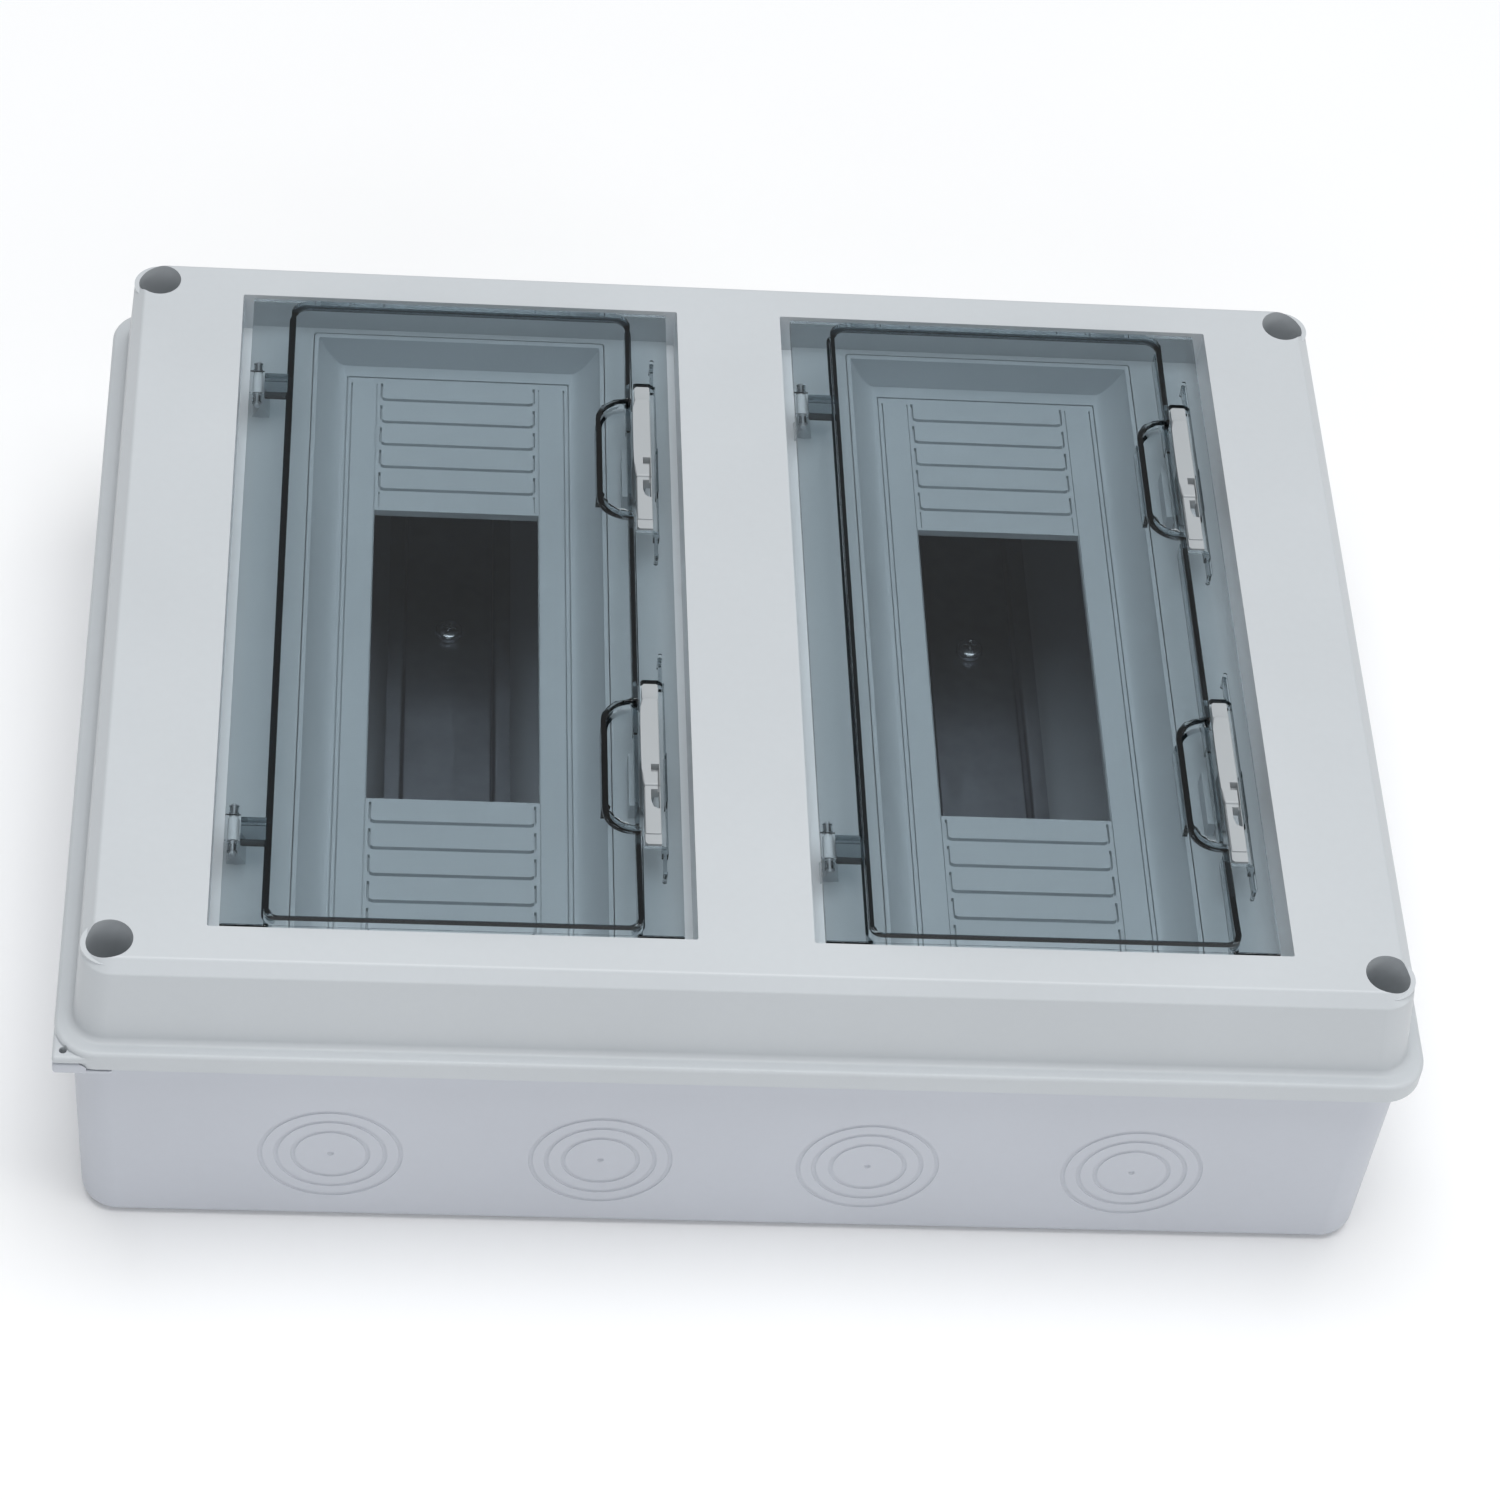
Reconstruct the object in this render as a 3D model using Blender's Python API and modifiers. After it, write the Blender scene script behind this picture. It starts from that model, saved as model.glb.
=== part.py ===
"""Surface-mounted 24-way distribution enclosure with two smoked doors.

The enclosure lies on its back: +X runs along its long side, +Y across the
short side and +Z out of the cover's face. The origin is the centre of the
back face. Lengths below are in millimetres and are scaled to metres once.
"""

import math

import bmesh
import bpy
from mathutils import Matrix, Vector

MM = 0.001

# ---- driving dimensions, millimetres ---------------------------------------
LENGTH, WIDTH = 350.0, 270.0  # outside of the cover's flange
HEIGHT = 105.0  # back face to the top of a door
FACE_Z = 102.0  # cover's face
GAP = 0.3  # clearance between pieces that touch

BASE_HALF_LOW = (170.0, 130.0)
BASE_HALF_HIGH = (171.0, 131.0)
BASE_RIM_Z = 68.0
BASE_WALL = 2.4
FLOOR = 2.5
BASE_CORNER_R = 10.0
TONGUE_HALF = (169.8, 129.8)
TONGUE_Z = 71.2

FLANGE_Z = (68.3, 74.7)
FLANGE_R = 11.0
COVER_HALF_LOW = (170.95, 130.95)  # at COVER_LOW_Z, inside the flange
COVER_HALF_HIGH = (167.9, 128.0)
COVER_LOW_Z = 70.0
COVER_CORNER_R = 8.5
COVER_WALL = 2.5
CHAMFER = 3.3

WINDOW_X = 76.0  # centre of each window
WINDOW_HALF = (61.3, 114.5)
RECESS_Z = 89.0  # floor of the window recess
RECESS_FLOOR = 2.2
WELL_WALL = 2.2

MASK_HALF_RIM = (41.0, 112.4)
MASK_HALF_FLOOR = (35.4, 109.6)
MASK_FLOOR_Z = 79.4
MASK_SKIN = 2.2
SLOT_HALF = (22.7, 52.6)  # open module slot
STRIP_PITCH = 8.9  # one break-off strip is half a module
STRIP_COUNT = 6
STRIP_START = 51.8

SCREW_X, SCREW_Y = 161.0, 119.3
SCREW_WELL_R = 5.9
SCREW_TUBE_R = 7.2
SCREW_SEAT_Z = 62.0
POST_R, POST_TOP = 6.0, 58.7

RAIL_X = 76.0
RAIL_TOP_Z = 26.0
RAIL_HALF_LENGTH = 110.0
RAIL_SCREW_Y = 62.0

HINGE_X = -56.1  # from the window centre
HINGE_Z = 98.2
BARREL_R = 2.2
PIN_R = 0.95
HINGE_Y = (81.0, -81.0)
LUG_HALF_Y = 4.0

DOOR_HALF_Y = 113.5
DOOR_EDGE_X = 58.0
DOOR_Z = (99.0, 101.5)
PANEL_X = 47.5
PANEL_FAR_Y = 109.8
PANEL_SKIN = 2.0
SCOOP_X = 38.8
SCOOP_HALF_Y = 21.5
LATCH_Y = (56.0, -56.0)
LATCH_HALF_Y = 27.5
LATCH_X = (48.6, 52.8)
LATCH_TRAVEL = 1.2
SLIT_HALF_Y = 39.3

KNOCKOUT_R = 18.25
KNOCKOUT_Z = 29.3
KNOCKOUT_X = (-105.0, -35.0, 35.0, 105.0)
KNOCKOUT_Y = (-70.0, 0.0, 70.0)
KNOCKOUT_DEPTH = 0.5

FIXING_X, FIXING_Y, FIXING_R = 130.0, 100.0, 2.75  # wall-fixing holes

BAR_X = 0.0
BAR_Y = (56.0, -56.0)  # neutral bar, earth bar
BAR_HALF_LENGTH = 29.0
HOLDER_HALF_LENGTH = 40.0
BAR_HALF_WIDTH = 4.0
BAR_Z = (16.0, 24.0)
TERMINALS = 6
TERMINAL_PITCH = 9.2


# ---- scene ---------------------------------------------------------------
for old in list(bpy.data.objects):
    bpy.data.objects.remove(old, do_unlink=True)


def collection(name):
    made = bpy.data.collections.new(name)
    bpy.context.scene.collection.children.link(made)
    return made


PARTS = collection("distribution_enclosure")
CUTTERS = collection("cutters")


def material(name, colour, roughness, metallic=0.0, alpha=1.0):
    made = bpy.data.materials.new(name)
    made.use_nodes = True
    shader = made.node_tree.nodes["Principled BSDF"]
    shader.inputs["Base Color"].default_value = (*colour, 1.0)
    shader.inputs["Roughness"].default_value = roughness
    shader.inputs["Metallic"].default_value = metallic
    shader.inputs["Alpha"].default_value = alpha
    made.diffuse_color = (*colour, alpha)
    return made


ABS_COVER = material("abs_cover", (0.62, 0.66, 0.69), 0.45)
ABS_BASE = material("abs_base", (0.55, 0.58, 0.62), 0.5)
ABS_MASK = material("abs_mask", (0.56, 0.60, 0.63), 0.5)
SMOKED = material("smoked_door", (0.16, 0.19, 0.21), 0.12, alpha=0.5)
LATCH_GREY = material("latch_grey", (0.60, 0.60, 0.60), 0.5)
ZINC = material("zinc_steel", (0.66, 0.67, 0.68), 0.32, 1.0)
STEEL = material("screw_steel", (0.60, 0.61, 0.63), 0.28, 1.0)
RUBBER = material("gasket_rubber", (0.10, 0.10, 0.11), 0.8)
BRASS = material("brass_bar", (0.78, 0.57, 0.25), 0.3, 1.0)
BLUE = material("neutral_blue", (0.05, 0.20, 0.55), 0.5)
GREEN = material("earth_green", (0.08, 0.42, 0.14), 0.5)
PIN_STEEL = material("pin_steel", (0.70, 0.70, 0.71), 0.25, 1.0)
DARK_SCREW = material("cover_screw_grey", (0.42, 0.43, 0.45), 0.45)


# ---- shape helpers -------------------------------------------------------
def from_bmesh(name, shape, home, finish=None):
    bmesh.ops.recalc_face_normals(shape, faces=shape.faces)
    bmesh.ops.scale(shape, vec=(MM, MM, MM), verts=shape.verts)
    data = bpy.data.meshes.new(name)
    shape.to_mesh(data)
    shape.free()
    made = bpy.data.objects.new(name, data)
    home.objects.link(made)
    if finish is not None:
        data.materials.append(finish)
    if home is CUTTERS:
        made.hide_render = True
        made.display_type = "WIRE"
    return made


def on_plane(edge, axis, value):
    return all(abs(v.co[axis] - value) < 1e-4 for v in edge.verts)


def tapered(name, low_half, high_half, z, corner, steps=4, centre=(0.0, 0.0),
            top_edge=0.0, top_steps=1, foot_edge=0.0, foot_steps=2, home=CUTTERS,
            finish=None):
    """A box with drafted sides, rounded upright edges and eased ends."""
    shape = bmesh.new()
    bmesh.ops.create_cube(shape, size=2.0)
    for v in shape.verts:
        half = high_half if v.co.z > 0 else low_half
        v.co = Vector((centre[0] + math.copysign(half[0], v.co.x),
                       centre[1] + math.copysign(half[1], v.co.y),
                       z[1] if v.co.z > 0 else z[0]))
    if corner:
        upright = [e for e in shape.edges
                   if abs(e.verts[0].co.z - e.verts[1].co.z) > 1e-3]
        bmesh.ops.bevel(shape, geom=upright, offset=corner, segments=steps,
                        profile=0.5, affect="EDGES")
    for level, size, count in ((z[1], top_edge, top_steps), (z[0], foot_edge, foot_steps)):
        if size:
            rim = [e for e in shape.edges if on_plane(e, 2, level)]
            bmesh.ops.bevel(shape, geom=rim, offset=size, segments=count,
                            profile=0.5, affect="EDGES")
    return from_bmesh(name, shape, home, finish)


def block(name, low, high, corner=0.0, steps=3, home=CUTTERS, finish=None):
    """A plain box between two corners, its upright edges rounded if asked."""
    centre = ((low[0] + high[0]) / 2, (low[1] + high[1]) / 2)
    half = ((high[0] - low[0]) / 2, (high[1] - low[1]) / 2)
    return tapered(name, half, half, (low[2], high[2]), corner, steps, centre,
                   home=home, finish=finish)


def rod(name, start, end, radius, sides=24, home=CUTTERS, finish=None, radius_end=None):
    """A cylinder or cone between two points on its axis."""
    start, end = Vector(start), Vector(end)
    along = end - start
    shape = bmesh.new()
    bmesh.ops.create_cone(shape, cap_ends=True, segments=sides, radius1=radius,
                          radius2=radius if radius_end is None else radius_end,
                          depth=along.length)
    turn = Vector((0, 0, 1)).rotation_difference(along.normalized()).to_matrix().to_4x4()
    bmesh.ops.transform(shape, verts=shape.verts,
                        matrix=Matrix.Translation((start + end) / 2) @ turn)
    return from_bmesh(name, shape, home, finish)


def prism(name, points, z, home=CUTTERS, top_edge=0.0, finish=None):
    """A flat outline thickened between two heights."""
    curve = bpy.data.curves.new(name + "_outline", "CURVE")
    curve.dimensions = "2D"
    curve.fill_mode = "BOTH"
    curve.extrude = (z[1] - z[0]) / 2
    line = curve.splines.new("POLY")
    line.points.add(len(points) - 1)
    for point, (x, y) in zip(line.points, points):
        point.co = (x, y, 0.0, 1.0)
    line.use_cyclic_u = True
    guide = bpy.data.objects.new(name + "_guide", curve)
    CUTTERS.objects.link(guide)
    graph = bpy.context.evaluated_depsgraph_get()
    data = bpy.data.meshes.new_from_object(guide.evaluated_get(graph))
    shape = bmesh.new()
    shape.from_mesh(data)
    bpy.data.objects.remove(guide, do_unlink=True)
    bpy.data.meshes.remove(data)
    bmesh.ops.remove_doubles(shape, verts=shape.verts, dist=1e-3)
    bmesh.ops.dissolve_limit(shape, angle_limit=0.01, verts=shape.verts, edges=shape.edges)
    bmesh.ops.translate(shape, vec=(0, 0, (z[0] + z[1]) / 2), verts=shape.verts)
    if top_edge:
        rim = [e for e in shape.edges if on_plane(e, 2, z[1]) and
               any(abs(f.normal.z) < 0.5 for f in e.link_faces)]
        bmesh.ops.bevel(shape, geom=rim, offset=top_edge, segments=2, profile=0.5,
                        affect="EDGES")
    return from_bmesh(name, shape, home, finish)


def extrusion_y(name, section, y, home=CUTTERS, finish=None):
    """An (x, z) section run along Y."""
    made = prism(name, section, (-y[1], -y[0]), home, finish=finish)
    made.data.transform(Matrix.Rotation(math.pi / 2, 4, "X"))
    return made


def combine(target, operation, *helpers):
    for helper in helpers:
        step = target.modifiers.new(operation.lower() + "_" + helper.name, "BOOLEAN")
        step.operation = operation
        step.solver = "EXACT"
        step.object = helper


def cut(target, *helpers):
    combine(target, "DIFFERENCE", *helpers)


def join(target, *helpers):
    combine(target, "UNION", *helpers)


def arc(cx, cy, radius, start, end, steps):
    """Points along an arc, angles in degrees."""
    return [(cx + radius * math.cos(math.radians(start + (end - start) * i / steps)),
             cy + radius * math.sin(math.radians(start + (end - start) * i / steps)))
            for i in range(steps + 1)]


def smooth(thing, degrees=35.0):
    thing.data.shade_smooth()
    thing.data.set_sharp_from_angle(angle=math.radians(degrees))


def put_origin(thing, point):
    """Puts an object's origin at a point without moving its surface."""
    point = Vector(point) * MM
    thing.data.transform(Matrix.Translation(-point))
    thing.location = point


# ---- base shell ----------------------------------------------------------
def inner_half(z):
    """Half sizes of the base's cavity at a height."""
    share = z / BASE_RIM_Z
    return tuple(low + (high - low) * share - BASE_WALL
                 for low, high in zip(BASE_HALF_LOW, BASE_HALF_HIGH))


base = tapered("base_shell", BASE_HALF_LOW, BASE_HALF_HIGH, (0.0, BASE_RIM_Z),
               BASE_CORNER_R, 4, foot_edge=3.5, foot_steps=2, home=PARTS, finish=ABS_BASE)

seal_ear = block("base_ear", (-175.0, -135.0, 66.6), (-162.0, -122.0, 70.2), 1.2, 2)
cut(seal_ear, tapered("ear_clearance", (175.3, 135.3), (175.3, 135.3), (67.9, 80.0),
                      FLANGE_R + 0.3, 5))
join(base, seal_ear)
join(base, tapered("tongue", TONGUE_HALF, TONGUE_HALF, (50.0, TONGUE_Z), 8.8, 4))
cut(base, tapered("base_cavity", inner_half(FLOOR), inner_half(90.0), (FLOOR, 90.0), 7.6, 4))

for ix, sx in enumerate((-1, 1)):
    for iy, sy in enumerate((-1, 1)):
        tag = f"{ix}{iy}"
        join(base,
             rod("post_" + tag, (sx * SCREW_X, sy * SCREW_Y, 1.2),
                 (sx * SCREW_X, sy * SCREW_Y, POST_TOP), POST_R, 12),
             block("post_rib_x_" + tag,
                   (min(sx * SCREW_X, sx * 169.2), sy * SCREW_Y - 1.0, 1.4),
                   (max(sx * SCREW_X, sx * 169.2), sy * SCREW_Y + 1.0, 57.5)),
             block("post_rib_y_" + tag,
                   (sx * SCREW_X - 1.0, min(sy * SCREW_Y, sy * 129.2), 1.6),
                   (sx * SCREW_X + 1.0, max(sy * SCREW_Y, sy * 129.2), 57.0)))
        cut(base,
            rod("post_hole_" + tag, (sx * SCREW_X, sy * SCREW_Y, 40.0),
                (sx * SCREW_X, sy * SCREW_Y, POST_TOP + 5), 2.4, 8),
            rod("fixing_hole_" + tag, (sx * FIXING_X, sy * FIXING_Y, -2.0),
                (sx * FIXING_X, sy * FIXING_Y, FLOOR + 2), FIXING_R, 12))
        join(base, rod("rail_post_" + tag, (sx * RAIL_X, sy * RAIL_SCREW_Y, 1.0),
                       (sx * RAIL_X, sy * RAIL_SCREW_Y, 18.2), 5.5, 10, radius_end=5.0))
        cut(base, rod("rail_hole_" + tag, (sx * RAIL_X, sy * RAIL_SCREW_Y, 6.0),
                      (sx * RAIL_X, sy * RAIL_SCREW_Y, 22.0), 2.0, 8))

for iy, y in enumerate(BAR_Y):
    for k, dy in enumerate((-34.0, 34.0)):
        join(base, rod(f"bar_post_{iy}{k}", (BAR_X, y + dy, 1.1), (BAR_X, y + dy, 8.0), 4.5, 10))
        cut(base, rod(f"bar_post_hole_{iy}{k}", (BAR_X, y + dy, 3.2), (BAR_X, y + dy, 12.0),
                      1.7, 8))

for k, x in enumerate(KNOCKOUT_X):
    for side, sign in (("front", -1), ("rear", 1)):
        surface = sign * 130.43
        cut(base, rod(f"knockout_{side}_{k}", (x, surface - sign * KNOCKOUT_DEPTH, KNOCKOUT_Z),
                      (x, surface + sign * 5, KNOCKOUT_Z), KNOCKOUT_R, 18))
for k, y in enumerate(KNOCKOUT_Y):
    for side, sign in (("left", -1), ("right", 1)):
        surface = sign * 170.43
        cut(base, rod(f"knockout_{side}_{k}", (surface - sign * KNOCKOUT_DEPTH, y, KNOCKOUT_Z),
                      (surface + sign * 5, y, KNOCKOUT_Z), KNOCKOUT_R, 18))
cut(base, rod("base_seal_hole", (-172.3, -132.4, 60.0), (-172.3, -132.4, 75.0), 1.0, 10))

# ---- gasket in the cover's rim -------------------------------------------
gasket = tapered("sealing_gasket", (171.0, 131.0), (171.0, 131.0), (71.5, 72.9), 9.0, 4,
                 home=PARTS, finish=RUBBER)
cut(gasket, tapered("gasket_inside", (168.7, 128.7), (168.7, 128.7), (70.0, 75.0), 7.6, 4))

# ---- cover shell ---------------------------------------------------------
cover = tapered("cover_shell", (175.0, 135.0), (175.0, 135.0), FLANGE_Z, FLANGE_R, 5,
                home=PARTS, finish=ABS_COVER)
join(cover,
     tapered("cover_upper", COVER_HALF_LOW, COVER_HALF_HIGH, (COVER_LOW_Z, FACE_Z),
             COVER_CORNER_R, 4, top_edge=CHAMFER),
     block("cover_ear", (-175.0, -135.0, 70.5), (-162.0, -122.0, 73.0), 1.2, 2))
cut(cover, tapered("tongue_pocket", (171.4, 131.4), (171.4, 131.4), (60.0, 73.2), 9.4, 4))


def cover_inner(z):
    share = (z - COVER_LOW_Z) / (FACE_Z - COVER_LOW_Z)
    return tuple(low + (high - low) * share - COVER_WALL
                 for low, high in zip(COVER_HALF_LOW, COVER_HALF_HIGH))


cut(cover, tapered("cover_cavity", cover_inner(62.0), cover_inner(99.5), (62.0, 99.5), 6.0, 3))

for side, sx in (("left", -1), ("right", 1)):
    cx = sx * WINDOW_X
    hx, hy = WINDOW_HALF
    join(cover, block(f"window_well_{side}",
                      (cx - hx - WELL_WALL, -hy - WELL_WALL, RECESS_Z - RECESS_FLOOR),
                      (cx + hx + WELL_WALL, hy + WELL_WALL, 100.4)))
for ix, sx in enumerate((-1, 1)):
    for iy, sy in enumerate((-1, 1)):
        join(cover, rod(f"screw_tube_{ix}{iy}", (sx * SCREW_X, sy * SCREW_Y, 59.0),
                        (sx * SCREW_X, sy * SCREW_Y, 100.3), SCREW_TUBE_R, 18))
for side, sx in (("left", -1), ("right", 1)):
    cx = sx * WINDOW_X
    hx, hy = WINDOW_HALF
    cut(cover,
        block(f"window_opening_{side}", (cx - hx, -hy, RECESS_Z), (cx + hx, hy, 115.0)),
        block(f"mask_hole_{side}",
              (cx - MASK_HALF_RIM[0] - GAP, -MASK_HALF_RIM[1] - GAP, 70.0),
              (cx + MASK_HALF_RIM[0] + GAP, MASK_HALF_RIM[1] + GAP, 95.0)))
    for k, y in enumerate(HINGE_Y):
        lug = block(f"hinge_lug_{side}_{k}",
                    (cx + HINGE_X - 2.4, y - LUG_HALF_Y, 87.5),
                    (cx + HINGE_X + 2.4, y + LUG_HALF_Y, HINGE_Z + 2.1))
        join(cover, lug)
        cut(cover, rod(f"hinge_bore_{side}_{k}", (cx + HINGE_X, y - 10, HINGE_Z),
                       (cx + HINGE_X, y + 10, HINGE_Z), PIN_R + 0.35, 8))
    for k, y in enumerate(LATCH_Y):
        join(cover,
             block(f"catch_{side}_{k}", (cx + 45.2, y - 9.0, 87.6), (cx + 47.4, y + 9.0, 94.0)),
             block(f"catch_lip_{side}_{k}", (cx + 45.2, y - 9.0, 92.6),
                   (cx + 48.0, y + 9.0, 94.0)))
for ix, sx in enumerate((-1, 1)):
    for iy, sy in enumerate((-1, 1)):
        cut(cover,
            rod(f"screw_well_{ix}{iy}", (sx * SCREW_X, sy * SCREW_Y, SCREW_SEAT_Z),
                (sx * SCREW_X, sy * SCREW_Y, 115.0), SCREW_WELL_R, 18),
            rod(f"screw_hole_{ix}{iy}", (sx * SCREW_X, sy * SCREW_Y, 50.0),
                (sx * SCREW_X, sy * SCREW_Y, 66.0), 2.4, 8))
cut(cover, rod("cover_seal_hole", (-172.3, -132.4, 60.0), (-172.3, -132.4, 80.0), 1.0, 10))

# ---- module masks --------------------------------------------------------
rim_x, rim_y = MASK_HALF_RIM
floor_x, floor_y = MASK_HALF_FLOOR
drop = RECESS_Z - MASK_FLOOR_Z
for side, sx in (("left", -1), ("right", 1)):
    cx = sx * WINDOW_X
    mask = tapered(f"module_mask_{side}",
                   (floor_x + MASK_SKIN - 0.6, floor_y + MASK_SKIN - 0.6), (rim_x, rim_y),
                   (MASK_FLOOR_Z - MASK_SKIN, RECESS_Z - 0.1), 1.0, 2, (cx, 0.0),
                   home=PARTS, finish=ABS_MASK)
    join(mask, block(f"mask_flange_{side}", (cx - rim_x - 3.0, -rim_y - 3.0, 84.2),
                     (cx + rim_x + 3.0, rim_y + 3.0, 86.5)))
    cut(mask,
        tapered(f"mask_tray_{side}", (floor_x, floor_y),
                (floor_x + (rim_x - 1.6 - floor_x) * 10 / drop,
                 floor_y + (rim_y - 1.6 - floor_y) * 10 / drop),
                (MASK_FLOOR_Z, MASK_FLOOR_Z + 10), 1.0, 2, (cx, 0.0)),
        block(f"mask_slot_{side}", (cx - SLOT_HALF[0], -SLOT_HALF[1], 70.0),
              (cx + SLOT_HALF[0], SLOT_HALF[1], 90.0)))
    for end in (-1, 1):
        for k in range(1, STRIP_COUNT):
            y = end * (STRIP_START + k * STRIP_PITCH)
            cut(mask, block(f"strip_groove_{side}_{'n' if end < 0 else 'f'}{k}",
                            (cx - SLOT_HALF[0] + 0.6, y - 0.35, MASK_FLOOR_Z - 0.5),
                            (cx + SLOT_HALF[0] + 0.2, y + 0.35, MASK_FLOOR_Z + 3)))

# ---- DIN rails and their screws ------------------------------------------
RAIL_FOOT_Z = RAIL_TOP_Z - 7.5
section = [(-17.5, RAIL_TOP_Z - 1), (-13.5, RAIL_TOP_Z - 1), (-13.5, RAIL_FOOT_Z),
           (13.5, RAIL_FOOT_Z), (13.5, RAIL_TOP_Z - 1), (17.5, RAIL_TOP_Z - 1),
           (17.5, RAIL_TOP_Z), (12.5, RAIL_TOP_Z), (12.5, RAIL_FOOT_Z + 1),
           (-12.5, RAIL_FOOT_Z + 1), (-12.5, RAIL_TOP_Z), (-17.5, RAIL_TOP_Z)]
for side, sx in (("left", -1), ("right", 1)):
    cx = sx * RAIL_X
    rail = extrusion_y(f"din_rail_{side}", [(cx + x, z) for x, z in section],
                       (-RAIL_HALF_LENGTH, RAIL_HALF_LENGTH), PARTS, ZINC)
    for end, sy in (("front", -1), ("rear", 1)):
        cut(rail, rod(f"rail_clear_{side}_{end}", (cx, sy * RAIL_SCREW_Y, 10.0),
                      (cx, sy * RAIL_SCREW_Y, 22.0), 2.3, 8))


def screw(name, point, head_r, head_h, shank_r, shank_l, finish, slots="ab", sides=10):
    """A pan-head screw: a turned profile with one or two slots cut in its head."""
    profile = [(0.0, head_h), (head_r * 0.8, head_h), (head_r, head_h * 0.55),
               (head_r, 0.0), (shank_r, 0.0), (shank_r, -shank_l), (0.0, -shank_l)]
    data = bpy.data.meshes.new(name)
    data.from_pydata([(r * MM, 0.0, z * MM) for r, z in profile],
                     [(i, i + 1) for i in range(len(profile) - 1)], [])
    data.materials.append(finish)
    made = bpy.data.objects.new(name, data)
    PARTS.objects.link(made)
    made.location = Vector(point) * MM
    turn = made.modifiers.new("turn", "SCREW")
    turn.steps = turn.render_steps = sides
    turn.use_merge_vertices = True
    turn.merge_threshold = 0.00005
    x, y, z = point
    length = head_r * 1.1
    for tag in slots:
        lx, ly = (length, head_r * 0.22) if tag == "a" else (head_r * 0.22, length)
        cut(made, block(f"{name}_drive_{tag}", (x - lx / 2, y - ly / 2, z + head_h * 0.45),
                        (x + lx / 2, y + ly / 2, z + head_h + 2)))
    return made


for side, sx in (("left", -1), ("right", 1)):
    for end, sy in (("front", -1), ("rear", 1)):
        screw(f"rail_screw_{side}_{end}", (sx * RAIL_X, sy * RAIL_SCREW_Y, RAIL_FOOT_Z + 1 + GAP),
              3.9, 2.6, 1.7, 10.0, STEEL)

# ---- terminal bars -------------------------------------------------------
for name, y, tint in (("neutral", BAR_Y[0], BLUE), ("earth", BAR_Y[1], GREEN)):
    holder = block(f"{name}_bar_holder", (BAR_X - 6.0, y - HOLDER_HALF_LENGTH, 8.3),
                   (BAR_X + 6.0, y + HOLDER_HALF_LENGTH, 15.7), 1.5, 2, PARTS, tint)
    cut(holder, block(f"{name}_holder_waist", (BAR_X - 20, y - 28.0, 6.0),
                      (BAR_X + 20, y + 28.0, 11.0)))
    bar = block(f"{name}_bar", (BAR_X - BAR_HALF_WIDTH, y - BAR_HALF_LENGTH, BAR_Z[0]),
                (BAR_X + BAR_HALF_WIDTH, y + BAR_HALF_LENGTH, BAR_Z[1]), home=PARTS, finish=BRASS)
    for k in range(TERMINALS):
        ty = y + (k - (TERMINALS - 1) / 2) * TERMINAL_PITCH
        cut(bar,
            rod(f"{name}_wire_hole_{k}", (BAR_X - 10, ty, 19.0), (BAR_X + 10, ty, 19.0), 2.3, 8),
            rod(f"{name}_thread_{k}", (BAR_X, ty, 18.0), (BAR_X, ty, 30.0), 2.1, 8))
        screw(f"{name}_terminal_screw_{k + 1}", (BAR_X, ty, BAR_Z[1] + GAP), 2.7, 1.8, 1.7, 3.4,
              STEEL, "a", 8)
    for k, dy in enumerate((-34.0, 34.0)):
        cut(holder, rod(f"{name}_holder_hole_{k}", (BAR_X, y + dy, 0.0), (BAR_X, y + dy, 30.0),
                        1.9, 8))
        screw(f"{name}_holder_screw_{k + 1}", (BAR_X, y + dy, 15.7 + GAP), 3.1, 2.0, 1.4, 10.5,
              STEEL, "a", 8)

# ---- doors ---------------------------------------------------------------
def door_outline(inset, near_y):
    """The raised panel's outline with its two finger scoops, anticlockwise."""
    px, far = PANEL_X - inset, PANEL_FAR_Y - inset
    r = 4.0 - inset * 0.5
    points = [(-px, near_y), (px, near_y)]
    for cy in (LATCH_Y[1] - 2.5, LATCH_Y[0] - 2.5):
        half = SCOOP_HALF_Y + inset
        deep = SCOOP_X - inset
        rc = 7.0 + inset * 0.5
        points.append((px, cy - half))
        points += arc(deep + rc, cy - half + rc, rc, 270, 180, 4)
        points += arc(deep + rc, cy + half - rc, rc, 180, 90, 4)
        points.append((px, cy + half))
    points += arc(px - r, far - r, r, 0, 90, 3)
    points += arc(-px + r, far - r, r, 90, 180, 3)
    return points


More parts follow.
